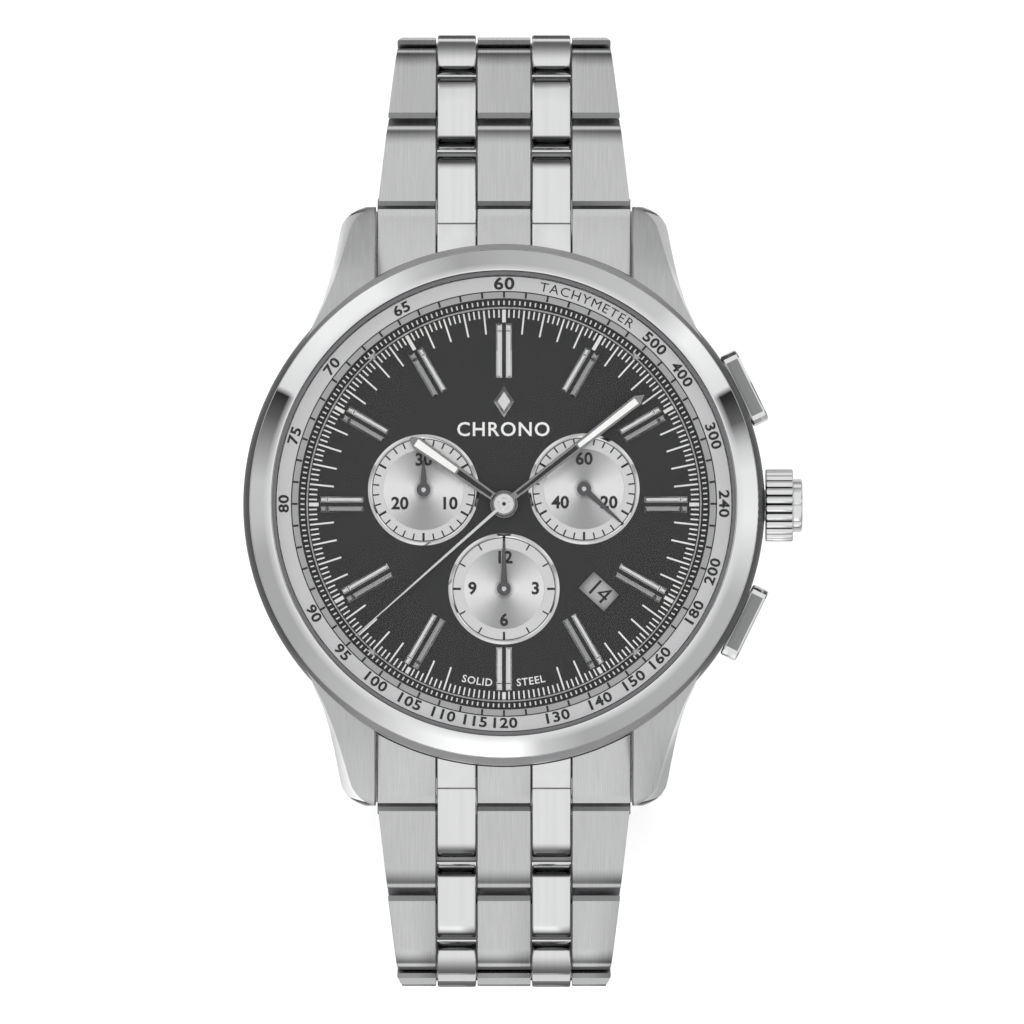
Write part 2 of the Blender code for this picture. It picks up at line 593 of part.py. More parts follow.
def make_middle_blade():
    """The blade inside the cover, with a barrel at each end."""
    plate_end = HINGE_Y - 1.35
    blade = block("middle_blade", (-BLADE_HALF, -plate_end, BLADE_LOW),
                  (BLADE_HALF, plate_end, BLADE_HIGH), watch)
    joins, bores = [], []
    for hinge, half in zip(HINGES, (KNUCKLE_REACH, FAR_BARREL_REACH)):
        root = hinge - math.copysign(2.0, hinge)
        web = [(root, BLADE_LOW), (hinge, 1.55), (hinge, 2.2), (root, BLADE_HIGH)]
        joins.append(cylinder("barrel", BARREL_RADIUS, -half, half, (hinge, HINGE_Z), 12, SIDE))
        joins.append(outline_solid("barrel_web", [web], -half, half, SIDE))
        bores.append(cylinder("barrel_bore", BAR_RADIUS + 0.07, -9.0, 9.0, (hinge, HINGE_Z), 10, SIDE))
    boolean(blade, joins, "UNION")
    boolean(blade, bores, "DIFFERENCE")
    finish(blade, STEEL, 0.25, 1.0)


def make_inner_blade():
    """The blade next to the wrist: tongues on the bracelet's last pin, knuckles for the middle blade."""
    pin_y = PINS[-1][0]
    near, far = -HINGE_Y - 1.0, HINGE_Y + 1.5
    inner = block("inner_blade", (-BLADE_HALF, near, INNER_LOW), (BLADE_HALF, far, INNER_HIGH), watch)
    root = HINGE_Y + 1.0
    tongue = ([(root, INNER_LOW + 0.05), (pin_y - 1.0, LAST_PIN_Z - 1.1)]
              + arc(1.3, 7, (pin_y, LAST_PIN_Z), -90.0, 90.0) + [(root, INNER_HIGH)])
    web = [(near, 2.8), (near + 1.6, 2.8), (near + 1.6, 4.2), (near, 4.2)]
    joins = [outline_solid("inner_tongue", [tongue], *reach, SIDE) for reach in TONGUES]
    for reach in ((-BLADE_HALF, -KNUCKLE_REACH - 0.2), (KNUCKLE_REACH + 0.2, BLADE_HALF)):
        joins.append(cylinder("knuckle", BARREL_RADIUS, *reach, (-HINGE_Y, HINGE_Z), 12, SIDE))
        joins.append(outline_solid("knuckle_web", [web], *reach, SIDE))
    joins.append(cylinder("knuckle_bar", BAR_RADIUS, -4.0, 4.0, (-HINGE_Y, HINGE_Z), 10, SIDE))
    boolean(inner, joins, "UNION")
    finish(inner, STEEL, 0.25, 1.0)


def make_buttons():
    for label, ends in (("left", (-9.1, -7.1)), ("right", (7.1, 9.1))):
        button = block(f"clasp_button_{label}", (ends[0], -2.2, 2.25), (ends[1], 2.2, 3.55), watch)
        finish(button, STEEL, 0.2, 1.0)


make_case()
make_dial()
make_movement()
make_centre_hands()
make_small_hand("minute_counter_hand", MINUTE_COUNTER, 0.0, 2.4)
make_small_hand("small_seconds_hand", SMALL_SECONDS, SECONDS_ANGLE, 4.0)
make_small_hand("hour_counter_hand", HOUR_COUNTER, 0.0, 3.95)
make_crown()
make_pusher("start_pusher", PUSHER_ANGLES[0])
make_pusher("reset_pusher", PUSHER_ANGLES[1])
make_bracelet()
make_cover()
make_middle_blade()
make_inner_blade()
make_buttons()
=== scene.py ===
import json
import math

import bmesh
import bpy
from mathutils import Matrix, Vector


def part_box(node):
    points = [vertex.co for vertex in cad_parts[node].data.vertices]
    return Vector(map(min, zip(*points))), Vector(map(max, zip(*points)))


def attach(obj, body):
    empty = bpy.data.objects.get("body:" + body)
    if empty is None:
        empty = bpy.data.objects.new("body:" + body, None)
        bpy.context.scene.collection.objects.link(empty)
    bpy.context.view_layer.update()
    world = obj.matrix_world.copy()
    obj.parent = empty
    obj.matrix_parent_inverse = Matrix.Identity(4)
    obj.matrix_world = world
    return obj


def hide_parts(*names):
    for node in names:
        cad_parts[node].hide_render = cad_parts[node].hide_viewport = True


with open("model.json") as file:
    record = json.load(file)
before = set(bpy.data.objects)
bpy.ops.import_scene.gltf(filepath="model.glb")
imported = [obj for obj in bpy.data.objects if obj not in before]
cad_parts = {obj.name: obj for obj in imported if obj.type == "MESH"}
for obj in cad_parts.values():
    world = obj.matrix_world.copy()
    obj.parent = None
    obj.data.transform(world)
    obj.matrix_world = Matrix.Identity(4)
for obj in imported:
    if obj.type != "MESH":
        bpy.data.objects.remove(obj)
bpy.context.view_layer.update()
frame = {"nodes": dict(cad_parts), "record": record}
RECORD = frame["record"]
MM = 0.001
TAU = 2.0 * math.pi

# ---- places read from the frame, in millimetres ----
JOINTS = {joint["name"]: joint for joint in RECORD["behaviour"]["joints"]}
MOUNTS = {mount["name"]: mount for mount in RECORD["mounts"]}
CASE_Z = MOUNTS["case_back"]["pos_m"][2] / MM


def joint_place(name):
    """A joint's pivot at rest, in millimetres."""
    return [value / MM for value in JOINTS[name]["pos_m"]]


def node_reach(name):
    """Lowest and highest corner of a CAD node, in millimetres."""
    low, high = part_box(name)
    return [value / MM for value in low], [value / MM for value in high]


CASE_R = node_reach("bezel")[1][0]            # outer radius of the bezel
FLANK_R = -node_reach("case_middle")[0][0]    # outer radius of the case
STEM_Z = joint_place("crown_turn")[2]
SECONDS_AT = joint_place("small_seconds_turn")[:2]
MINUTES_AT = joint_place("minute_counter_turn")[:2]
HOURS_AT = joint_place("hour_counter_turn")[:2]
DIAL_Z = CASE_Z + 6.9                          # upper face of the dial plate
AXIS = (0.0, 0.0)                              # of the hour, minute and chronograph hands
QUARTERS, QUARTER_TURN = 240, 1.5              # quarter seconds in a minute, and degrees for each
HOUR_ANGLE, MINUTE_ANGLE, CHRONO_ANGLE, SECONDS_ANGLE = 305.1, 52.1, 228.4, 132.0
DATE_ANGLE, DATE_R = 132.5, 10.6

# ---- camera ----
VIEW_TILT = 2.0                                # degrees that the view leans towards 6 o'clock
VIEW_DISTANCE = 1800.0
FIELD = 84.4                                   # width of the view at the dial
AIM = Vector((0.66, -0.62, DIAL_Z))
camera_data = bpy.data.cameras.new("camera")
camera = bpy.data.objects.new("camera", camera_data)
bpy.context.scene.collection.objects.link(camera)
lean = math.radians(VIEW_TILT)
camera.location = (AIM + Vector((0.0, -math.sin(lean), math.cos(lean))) * VIEW_DISTANCE) * MM
camera.rotation_euler = (lean, 0.0, 0.0)
camera_data.sensor_width = 36.0
camera_data.lens = 36.0 * VIEW_DISTANCE / FIELD
camera_data.clip_start = 0.01
camera_data.clip_end = 20.0
bpy.context.scene.camera = camera
bpy.context.scene.view_settings.view_transform = "Standard"


# ---- materials ----
def new_material(name, colour, roughness, metallic=0.0):
    """A Principled material, its node tree and its shader."""
    made = bpy.data.materials.new(name)
    made.use_nodes = True
    tree = made.node_tree
    shader = tree.nodes["Principled BSDF"]
    shader.inputs["Base Color"].default_value = (*colour, 1.0)
    shader.inputs["Roughness"].default_value = roughness
    shader.inputs["Metallic"].default_value = metallic
    return made, tree, shader


def plug(tree, value, socket):
    """Link another node's output to a socket, or set the socket to a number or a colour."""
    if isinstance(value, bpy.types.NodeSocket):
        tree.links.new(value, socket)
    else:
        socket.default_value = (*value, 1.0) if isinstance(value, tuple) else value


def calc(tree, operation, first, second=0.0):
    """One step of arithmetic; each term is a number or a socket."""
    node = tree.nodes.new("ShaderNodeMath")
    node.operation = operation
    plug(tree, first, node.inputs[0])
    plug(tree, second, node.inputs[1])
    return node.outputs["Value"]


def ranged(tree, value, low, high, start, stop, smooth=False):
    """A value between two limits mapped onto start to stop, and held at both ends."""
    node = tree.nodes.new("ShaderNodeMapRange")
    if smooth:
        node.interpolation_type = "SMOOTHSTEP"
    for name, number in (("From Min", low), ("From Max", high), ("To Min", start), ("To Max", stop)):
        node.inputs[name].default_value = number
    tree.links.new(value, node.inputs["Value"])
    return node.outputs["Result"]


def mixed(tree, factor, first, second, kind="MIX"):
    """Blend two colours by a factor; each is a socket or a plain value."""
    node = tree.nodes.new("ShaderNodeMix")
    node.data_type = "RGBA"
    node.blend_type = kind
    for name, value in (("Factor", factor), ("A", first), ("B", second)):
        plug(tree, value, node.inputs[name])
    return node.outputs["Result"]


def axes_of(tree, vector):
    """The X, Y and Z sockets of a vector."""
    split = tree.nodes.new("ShaderNodeSeparateXYZ")
    tree.links.new(vector, split.inputs["Vector"])
    return split.outputs


NOISE_LOW, NOISE_HIGH = 0.3, 0.7    # most of a noise texture's values lie between these


def spread(tree, value, low, high):
    """Map a noise texture's usual values onto a range."""
    return ranged(tree, value, NOISE_LOW, NOISE_HIGH, low, high)


def add_noise(tree, scale, detail=3.0, stretch=(1.0, 1.0, 1.0)):
    """A noise texture in the piece's own coordinates, stretched along an axis where asked."""
    coordinates = tree.nodes.new("ShaderNodeTexCoord")
    mapping = tree.nodes.new("ShaderNodeMapping")
    mapping.inputs["Scale"].default_value = stretch
    noise = tree.nodes.new("ShaderNodeTexNoise")
    noise.inputs["Scale"].default_value = scale
    noise.inputs["Detail"].default_value = detail
    tree.links.new(coordinates.outputs["Object"], mapping.inputs["Vector"])
    tree.links.new(mapping.outputs["Vector"], noise.inputs["Vector"])
    return noise.outputs["Fac"]


def two_tone(tree, noise, colour, contrast):
    """A colour that strays darker and lighter with a noise texture."""
    dark = tuple(channel * (1.0 - contrast) for channel in colour)
    light = tuple(min(1.0, channel * (1.0 + contrast)) for channel in colour)
    return mixed(tree, spread(tree, noise, 0.0, 1.0), dark, light)


def bump(tree, shader, height, distance):
    """Raise the surface by a height value; distance is in millimetres."""
    node = tree.nodes.new("ShaderNodeBump")
    node.inputs["Distance"].default_value = distance * MM
    node.inputs["Strength"].default_value = 1.0
    tree.links.new(height, node.inputs["Height"])
    tree.links.new(node.outputs["Normal"], shader.inputs["Normal"])


FAR_FACING = (0.05, 0.42)      # Y of the normal where the painted shade on a link's far shoulder starts and ends
NEAR_FACING = (-0.9, -0.4)     # the same for its near end
OUTER_BAND = (-0.2, 1.35)      # heights between which the painted shade on the near end grows


def end_shade(tree, dark):
    """Painted shade: 1 along a link, falling to dark over its far shoulder and up the outer part of its
    near end.
    """
    coordinates = tree.nodes.new("ShaderNodeTexCoord")
    facing = axes_of(tree, coordinates.outputs["Normal"])["Y"]
    height = axes_of(tree, coordinates.outputs["Object"])["Z"]
    far = ranged(tree, facing, *FAR_FACING, 1.0, dark, smooth=True)
    near = ranged(tree, facing, *NEAR_FACING, 1.0, 0.0, smooth=True)
    outer = ranged(tree, height, OUTER_BAND[0] * MM, OUTER_BAND[1] * MM, 0.0, 1.0 - dark, smooth=True)
    return calc(tree, "MULTIPLY", far, calc(tree, "SUBTRACT", 1.0, calc(tree, "MULTIPLY", near, outer)))


def steel(name, colour, rough_low, rough_high, stretch, scale, depth, contrast=0.06, ends=1.0):
    """Metal with a grain: fine lines where the noise is stretched, soft mottling where it isn't."""
    made, tree, shader = new_material(name, colour, rough_low, 1.0)
    grain = add_noise(tree, scale, 4.0, stretch)
    tone = two_tone(tree, grain, colour, contrast)
    # ends below 1 multiplies in painted shade over a link's far shoulder and up its near end
    if ends < 1.0:
        tone = mixed(tree, 1.0, tone, end_shade(tree, ends), "MULTIPLY")
    tree.links.new(tone, shader.inputs["Base Color"])
    tree.links.new(spread(tree, grain, rough_low, rough_high), shader.inputs["Roughness"])
    bump(tree, shader, grain, depth)
    return made


def paint(name, colour, roughness, depth=0.004, scale=9000.0, metallic=0.0, contrast=0.05):
    """Lacquer or print with a fine orange-peel grain and a slight change of tone."""
    made, tree, shader = new_material(name, colour, roughness, metallic)
    grain = add_noise(tree, scale, 4.0)
    cloud = add_noise(tree, scale / 30.0, 2.0)
    tree.links.new(two_tone(tree, cloud, colour, contrast), shader.inputs["Base Color"])
    tree.links.new(spread(tree, grain, roughness * 0.85, roughness * 1.2), shader.inputs["Roughness"])
    bump(tree, shader, grain, depth)
    return made


def grey(tone):
    """The faint blue of steel at a tone."""
    return tone, tone + 0.002, tone + 0.005


LENGTHWISE = (1.0, 0.03, 0.05)     # grain lines along the piece's own Y
AROUND = (1.0, 1.0, 12.0)          # grain lines round an upright axis
EVEN = (1.0, 1.0, 1.0)
# The two link steels carry painted shade at each link's ends, down to 0.16 at the darkest
BRUSHED = steel("brushed_steel", grey(0.56), 0.24, 0.38, LENGTHWISE, 11000.0, 0.006, 0.06, 0.16)
LINK_POLISHED = steel("link_polished", grey(0.78), 0.08, 0.14, LENGTHWISE, 3000.0, 0.0003, 0.02, 0.16)
# Satin steel of the pusher tops and the link cores, also laid as painted shade on the links' near lips.
SATIN_STEEL_AND_SHADE = steel("satin_push_top", grey(0.27), 0.30, 0.40, LENGTHWISE, 9000.0, 0.003, 0.06)
END_BRUSHED = steel("end_link_brushed", grey(0.60), 0.24, 0.38, LENGTHWISE, 11000.0, 0.006, 0.06)
LUG_BRUSHED = steel("lug_brushed", grey(0.50), 0.28, 0.42, LENGTHWISE, 12000.0, 0.008, 0.08)
ROUND_BRUSHED = steel("round_brushed", grey(0.52), 0.22, 0.34, AROUND, 2500.0, 0.005, 0.06)
POLISHED = steel("polished_steel", grey(0.78), 0.05, 0.10, EVEN, 900.0, 0.001, 0.02)
BRIGHT = steel("bright_applique", (0.88, 0.88, 0.885), 0.05, 0.10, LENGTHWISE, 6000.0, 0.001, 0.02)
TURNED = steel("turned_steel", grey(0.42), 0.25, 0.38, EVEN, 3000.0, 0.004, 0.06)
# Darker copy of the bright applique steel: painted shade on one half of each baton.
SHADED = steel("shaded_applique", (0.42, 0.42, 0.425), 0.05, 0.10, LENGTHWISE, 6000.0, 0.001, 0.02)
HAND_STEEL = steel("hand_steel", grey(0.32), 0.10, 0.16, LENGTHWISE, 6000.0, 0.001, 0.03)
# Dark steel of the small hands, also laid as painted shade in the crown's grooves and in the links' gaps
# and fillers.
DARK_METAL_AND_SHADE = steel("dark_hands", (0.13, 0.13, 0.135), 0.30, 0.42, LENGTHWISE, 9000.0, 0.003, 0.10)
MIRROR = steel("mirror_steel", grey(0.78), 0.015, 0.035, EVEN, 500.0, 0.0001, 0.01)
BRASS = steel("plated_brass", (0.72, 0.60, 0.36), 0.28, 0.40, EVEN, 3000.0, 0.004, 0.08)
FLANGE = paint("flange_silver", (0.70, 0.70, 0.705), 0.34, 0.0003, 8000.0, 0.60, 0.02)
FLANGE_SHADE = paint("flange_shaded", (0.44, 0.44, 0.445), 0.34, 0.0003, 8000.0, 0.60, 0.02)
WALL_BLACK = paint("flange_wall", (0.014, 0.014, 0.015), 0.55, 0.0003, 8000.0, 0.0, 0.02)
DIAL = paint("dial_lacquer", (0.016, 0.016, 0.0175), 0.42, 0.002, 9000.0, 0.10, 0.08)
WHITE = paint("white_print", (0.80, 0.80, 0.79), 0.55)
BLACK = paint("black_print", (0.012, 0.012, 0.013), 0.50)
LUME = paint("lume", (0.88, 0.89, 0.87), 0.65, 0.010, 5000.0)
SEAL = paint("seal_rubber", (0.13, 0.13, 0.135), 0.55)
SPACER = paint("moulded_spacer", (0.70, 0.69, 0.65), 0.55)
BOARD = paint("circuit_green", (0.03, 0.16, 0.08), 0.45)
DATE_WHITE = paint("date_disc", (0.50, 0.50, 0.505), 0.45)


def sapphire():
    """Clear coated glass: it shows only faint reflections, mostly at its bevelled edge."""
    made, tree, shader = new_material("sapphire", (0.02, 0.02, 0.02), 0.02)
    shader.inputs["Alpha"].default_value = 0.06
    shader.inputs["IOR"].default_value = 1.76
    haze = add_noise(tree, 400.0, 2.0)
    tree.links.new(spread(tree, haze, 0.015, 0.03), shader.inputs["Roughness"])
    return made


GLASS = sapphire()


def fan(tree, centre):
    """Distance from a centre, and a share that is 1 to its left and right and 0 above and below."""
    coordinates = tree.nodes.new("ShaderNodeTexCoord")
    local = tree.nodes.new("ShaderNodeVectorMath")
    local.operation = "SUBTRACT"
    local.inputs[1].default_value = (centre[0] * MM, centre[1] * MM, 0.0)
    tree.links.new(coordinates.outputs["Object"], local.inputs[0])
    place = axes_of(tree, local.outputs["Vector"])
    across = calc(tree, "MULTIPLY", place["X"], place["X"])
    along = calc(tree, "MULTIPLY", place["Y"], place["Y"])
    square = calc(tree, "ADD", across, along)
    return calc(tree, "SQRT", square), calc(tree, "DIVIDE", across, calc(tree, "ADD", square, 1e-8))


def shoulder_steel():
    """Steep shoulder of the case with a painted reflection: light towards 12 and 6 o'clock, dark at the
    flanks.
    """
    made, tree, shader = new_material("shoulder_steel", (0.2, 0.2, 0.205), 0.35, 0.2)
    sides = fan(tree, (0.0, 0.0))[1]
    tone = mixed(tree, spread(tree, sides, 0.1, 0.9), (0.27, 0.27, 0.275), (0.035, 0.035, 0.037))
    tree.links.new(tone, shader.inputs["Base Color"])
    return made


GROOVE_PITCH = 0.105               # of the circular graining
GRAINED_R = 3.3                    # radius where the graining gives way to the numbered ring


def snailed(name, centre):
    """Silver disc with circular graining and a painted sheen: bright fans to the sides, grey ones above and
    below.
    """
    made, tree, shader = new_material(name, (0.74, 0.74, 0.745), 0.32, 0.85)
    radius, side = fan(tree, centre)
    wave = calc(tree, "SINE", calc(tree, "MULTIPLY", radius, TAU / (GROOVE_PITCH * MM)))
    # The side share paints the sheen; the wave adds the faint rings of the graining.
    grain = calc(tree, "ADD", side, calc(tree, "MULTIPLY", wave, 0.10))
    outside = ranged(tree, radius, (GRAINED_R - 0.02) * MM, (GRAINED_R + 0.02) * MM, 0.0, 1.0)
    inner = mixed(tree, grain, (0.40, 0.40, 0.405), (0.98, 0.98, 0.985))
    tree.links.new(mixed(tree, outside, inner, (0.80, 0.80, 0.805)), shader.inputs["Base Color"])
    return made


# ---- shapes ----
collection = bpy.data.collections.new("looks")
bpy.context.scene.collection.children.link(collection)
SIDE = Matrix(((0, 0, 1, 0), (1, 0, 0, 0), (0, 1, 0, 0), (0, 0, 0, 1)))   # (u, v, w) to (Y, Z, X)


def dressed(obj, *finishes, sharp=30.0):
    """Give an object its materials and smooth shading with crisp edges."""
    obj.data.materials.clear()
    for finish in finishes:
        obj.data.materials.append(finish)
    return creased(obj, sharp)


def creased(obj, sharp=30.0):
    """Smooth shading with crisp edges, the materials left as they are."""
    for face in obj.data.polygons:
        face.use_smooth = True
    obj.data.set_sharp_from_angle(angle=math.radians(sharp))
    return obj


def linked(name, shape):
    """An object made from a bmesh as it is."""
    mesh = bpy.data.meshes.new(name)
    shape.to_mesh(mesh)
    shape.free()
    obj = bpy.data.objects.new(name, mesh)
    collection.objects.link(obj)
    return obj


def from_bmesh(name, shape):
    """An object from a bmesh, its faces turned outwards."""
    bmesh.ops.recalc_face_normals(shape, faces=shape.faces)
    return linked(name, shape)


def mesh_of(curve):
    """The mesh that a curve makes; the curve is deleted."""
    guide = bpy.data.objects.new("guide", curve)
    bpy.context.scene.collection.objects.link(guide)
    mesh = bpy.data.meshes.new_from_object(guide.evaluated_get(bpy.context.evaluated_depsgraph_get()))
    bpy.data.objects.remove(guide, do_unlink=True)
    bpy.data.curves.remove(curve)
    return mesh


def lathe(name, profile, steps=192, centre=(0.0, 0.0), lift=0.0, closed=True):
    """A (radius, height) profile turned about an upright axis; points at radius 0 become poles."""
    shape = bmesh.new()
    rings = []
    for r, z in profile:
        if r == 0.0:
            rings.append([shape.verts.new((centre[0] * MM, centre[1] * MM, (z + lift) * MM))])
            continue
        ring = []
        for i in range(steps):
            angle = TAU * i / steps
            ring.append(shape.verts.new(((centre[0] + r * math.cos(angle)) * MM,
                                         (centre[1] + r * math.sin(angle)) * MM, (z + lift) * MM)))
        rings.append(ring)
    for a, b in zip(rings, rings[1:] + rings[:1] if closed else rings[1:]):
        for i in range(steps):
            j = (i + 1) % steps
            if len(a) == 1 and len(b) == 1:
                continue
            if len(a) == 1:
                shape.faces.new((a[0], b[i], b[j]))
            elif len(b) == 1:
                shape.faces.new((a[i], b[0], a[j]))
            else:
                shape.faces.new((a[i], b[i], b[j], a[j]))
    return from_bmesh(name, shape)


def arc(radius, count, centre, start, end):
    """Points along an arc, both ends included, in degrees."""
    points = []
    for i in range(count):
        angle = math.radians(start + (end - start) * i / (count - 1))
        points.append((centre[0] + radius * math.cos(angle), centre[1] + radius * math.sin(angle)))
    return points


def ring_of(radius, count, centre=(0.0, 0.0)):
    """Points round a circle."""
    return arc(radius, count + 1, centre, 0.0, 360.0)[:-1]


def clock(radius, angle):
    """A point at a clock angle, clockwise from 12."""
    turn = math.radians(angle)
    return Vector((radius * math.sin(turn), radius * math.cos(turn)))


def solid(name, loops, low, high, axes=None, edge=0.0, edge_steps=2):
    """Flat outlines, holes included, pushed out along w from low to high, with bevelled rims."""
    curve = bpy.data.curves.new(name, "CURVE")
    curve.dimensions = "2D"
    curve.fill_mode = "BOTH"
    curve.extrude = ((high - low) / 2 - edge) * MM
    curve.bevel_depth = edge * MM
    curve.bevel_resolution = edge_steps - 1
    curve.offset = -edge * MM
    for loop in loops:
        spline = curve.splines.new("POLY")
        spline.points.add(len(loop) - 1)
        for point, (u, v) in zip(spline.points, loop):
            point.co = (u * MM, v * MM, 0.0, 1.0)
        spline.use_cyclic_u = True
    mesh = mesh_of(curve)
    shape = bmesh.new()
    shape.from_mesh(mesh)
    bpy.data.meshes.remove(mesh)
    bmesh.ops.remove_doubles(shape, verts=shape.verts, dist=0.0005 * MM)
    matrix = Matrix.Translation((0.0, 0.0, (high + low) / 2 * MM))
    bmesh.ops.transform(shape, matrix=(axes or Matrix.Identity(4)) @ matrix, verts=shape.verts)
    return from_bmesh(name, shape)


def box(name, low, high):
    """A box between two corners: a cutting tool, or a filler deep in a gap."""
    shape = bmesh.new()
    size = [(b - a) * MM for a, b in zip(low, high)]
    middle = [(a + b) / 2 * MM for a, b in zip(low, high)]
    matrix = Matrix.Translation(middle) @ Matrix.Diagonal((*size, 1.0))
    bmesh.ops.create_cube(shape, size=1.0, matrix=matrix)
    return from_bmesh(name, shape)


def joined(name, parts):
    """Several objects made one; each keeps its own material by index."""
    shape = bmesh.new()
    materials = []
    for part in parts:
        mesh = part.data.copy()
        mesh.transform(part.matrix_basis)
        offset = []
        for finish in part.data.materials:
            if finish not in materials:
                materials.append(finish)
            offset.append(materials.index(finish))
        for face in mesh.polygons:
            if offset:
                face.material_index = offset[face.material_index]
        shape.from_mesh(mesh)
        bpy.data.meshes.remove(mesh)
        old = part.data
        bpy.data.objects.remove(part, do_unlink=True)
        bpy.data.meshes.remove(old)
    obj = linked(name, shape)
    for finish in materials:
        obj.data.materials.append(finish)
    return obj


def carved(obj, tools, operation="DIFFERENCE"):
    """Apply Boolean operations at once and delete the tools."""
    for tool in tools:
        step = obj.modifiers.new("carve", "BOOLEAN")
        step.operation = operation
        step.solver = "EXACT"
        step.material_mode = "TRANSFER"
        step.object = tool
    bpy.context.view_layer.update()
    mesh = bpy.data.meshes.new_from_object(obj.evaluated_get(bpy.context.evaluated_depsgraph_get()))
    obj.modifiers.clear()
    obj.data = mesh
    for tool in tools:
        bpy.data.objects.remove(tool, do_unlink=True)
    return obj


def settle(piece, body, slot, *nodes):
    """Attach a piece to the body it rides on and hide the CAD nodes it stands for; slot is not used."""
    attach(piece, body)
    if nodes:
        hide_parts(*nodes)
    return piece


def placed(obj, where, spin=(0.0, 0.0, 0.0)):
    """Move and turn an object, in millimetres and degrees; its mesh keeps its own coordinates."""
    obj.location = Vector(where) * MM
    obj.rotation_euler = [math.radians(angle) for angle in spin]
    return obj


# ---- print ----
INK = 0.008                                    # half the thickness of print


def text_shape(words, size, spacing=1.0, weight=0.014):
    """Words as a flat mesh centred on the origin, in millimetres; weight thickens the strokes."""
    curve = bpy.data.curves.new("words", "FONT")
    curve.body = words
    curve.size = size
    curve.space_character = spacing
    curve.align_x = "CENTER"
    curve.align_y = "CENTER"
    curve.resolution_u = 3
    curve.extrude = INK
    curve.offset = weight * size
    return mesh_of(curve)


class Print:
    """Gathers thin printed marks into one mesh."""

    def __init__(self):
        self.shape = bmesh.new()

    def add(self, mesh, move):
        """Add a mesh, each vertex moved by a function of its (x, y, z) in millimetres."""
        start = len(self.shape.verts)
        self.shape.from_mesh(mesh)
        bpy.data.meshes.remove(mesh)
        self.shape.verts.ensure_lookup_table()
        for vertex in self.shape.verts[start:]:
            vertex.co = Vector(move(*vertex.co)) * MM

    def words(self, words, size, where, turn, height, spacing=1.0, weight=0.014):
        """Straight words at (x, y), turned clockwise by degrees."""
        angle = math.radians(-turn)

        def move(x, y, z):
            return (where[0] + x * math.cos(angle) - y * math.sin(angle),
                    where[1] + x * math.sin(angle) + y * math.cos(angle), height + z)
        self.add(text_shape(words, size, spacing, weight), move)

    def curved(self, words, size, radius, angle, upright, surface, spacing=1.0, stretch=1.0, weight=0.014):
        """Words bent round the dial at a clock angle; upright is 1 for tops outward and -1 inward."""
        def move(x, y, z):
            place = clock(radius + upright * y, angle + upright * math.degrees(x * stretch / radius))
            return (*place, surface(radius + upright * y) + z)
        self.add(text_shape(words, size, spacing, weight), move)

    def vertex(self, x, y, z):
        """A new vertex, in millimetres."""
        return self.shape.verts.new(Vector((x, y, z)) * MM)

    def bar(self, centre, near, far, half, angle, surface):
        """A radial mark between two radii about a centre."""
        tangent = clock(1.0, angle + 90.0)
        corners = []
        for lift in (-INK, INK):
            for side, reach in ((-1, near), (1, near), (1, far), (-1, far)):
                x, y = clock(reach, angle) + tangent * side * half
                corners.append(self.vertex(centre[0] + x, centre[1] + y, surface(reach) + lift))
        for face in ((0, 3, 2, 1), (4, 5, 6, 7), (0, 1, 5, 4), (1, 2, 6, 5), (2, 3, 7, 6), (3, 0, 4, 7)):
            self.shape.faces.new([corners[k] for k in face])

    def hoop(self, centre, radius, half, surface, steps):
        """A thin printed circle."""
        inner, outer = radius - half, radius + half
        rings = []
        for r, lift in ((inner, -INK), (inner, INK), (outer, INK), (outer, -INK)):
            rings.append([self.vertex(x, y, surface(r) + lift) for x, y in ring_of(r, steps, centre)])
        for a, b in zip(rings, rings[1:] + rings[:1]):
            for i in range(steps):
                j = (i + 1) % steps
                self.shape.faces.new((a[i], a[j], b[j], b[i]))

    def made(self, name, finish):
        """The finished piece."""
        return dressed(from_bmesh(name, self.shape), finish)


def refinish(obj, finish, chosen):
    """Give some faces of an object another material; chosen tests a face's centre and normal."""
    obj.data.materials.append(finish)
    index = len(obj.data.materials) - 1
    for face in obj.data.polygons:
        if chosen(face.center / MM, face.normal):
            face.material_index = index
    return obj


def level(height):
    """A flat surface at a height."""
    return lambda radius: height


# ---- case ----
# Profiles are (radius, height) points, with heights in millimetres above the case back.
LUG_STATIONS = (   # distance from the hands' axis, outer half width, top, bottom and width of the bevel
    (12.0, 17.3, 7.6, 1.8, 0.02), (14.5, 15.9, 7.55, 1.8, 0.06), (16.6, 14.95, 7.40, 1.75, 0.16),
    (18.4, 14.40, 7.05, 1.7, 0.34), (20.0, 14.03, 6.30, 0.10, 0.50), (21.4, 13.75, 5.50, -0.62, 0.64),
    (22.4, 13.57, 4.90, -0.68, 0.74), (23.2, 13.38, 4.40, -0.68, 0.80), (23.8, 13.00, 4.02, -0.62, 0.80),
    (24.2, 12.55, 3.74, -0.45, 0.76), (24.5, 12.00, 3.50, -0.20, 0.66), (24.72, 11.45, 3.25, 0.10, 0.50))
LUG_INNER = 10.6
BEVEL_SIDES = (2, 3)                           # faces of a lug's section that are polished
PUSHERS = {"start_pusher": 26.0, "reset_pusher": -26.0}   # degrees anticlockwise from 3 o'clock


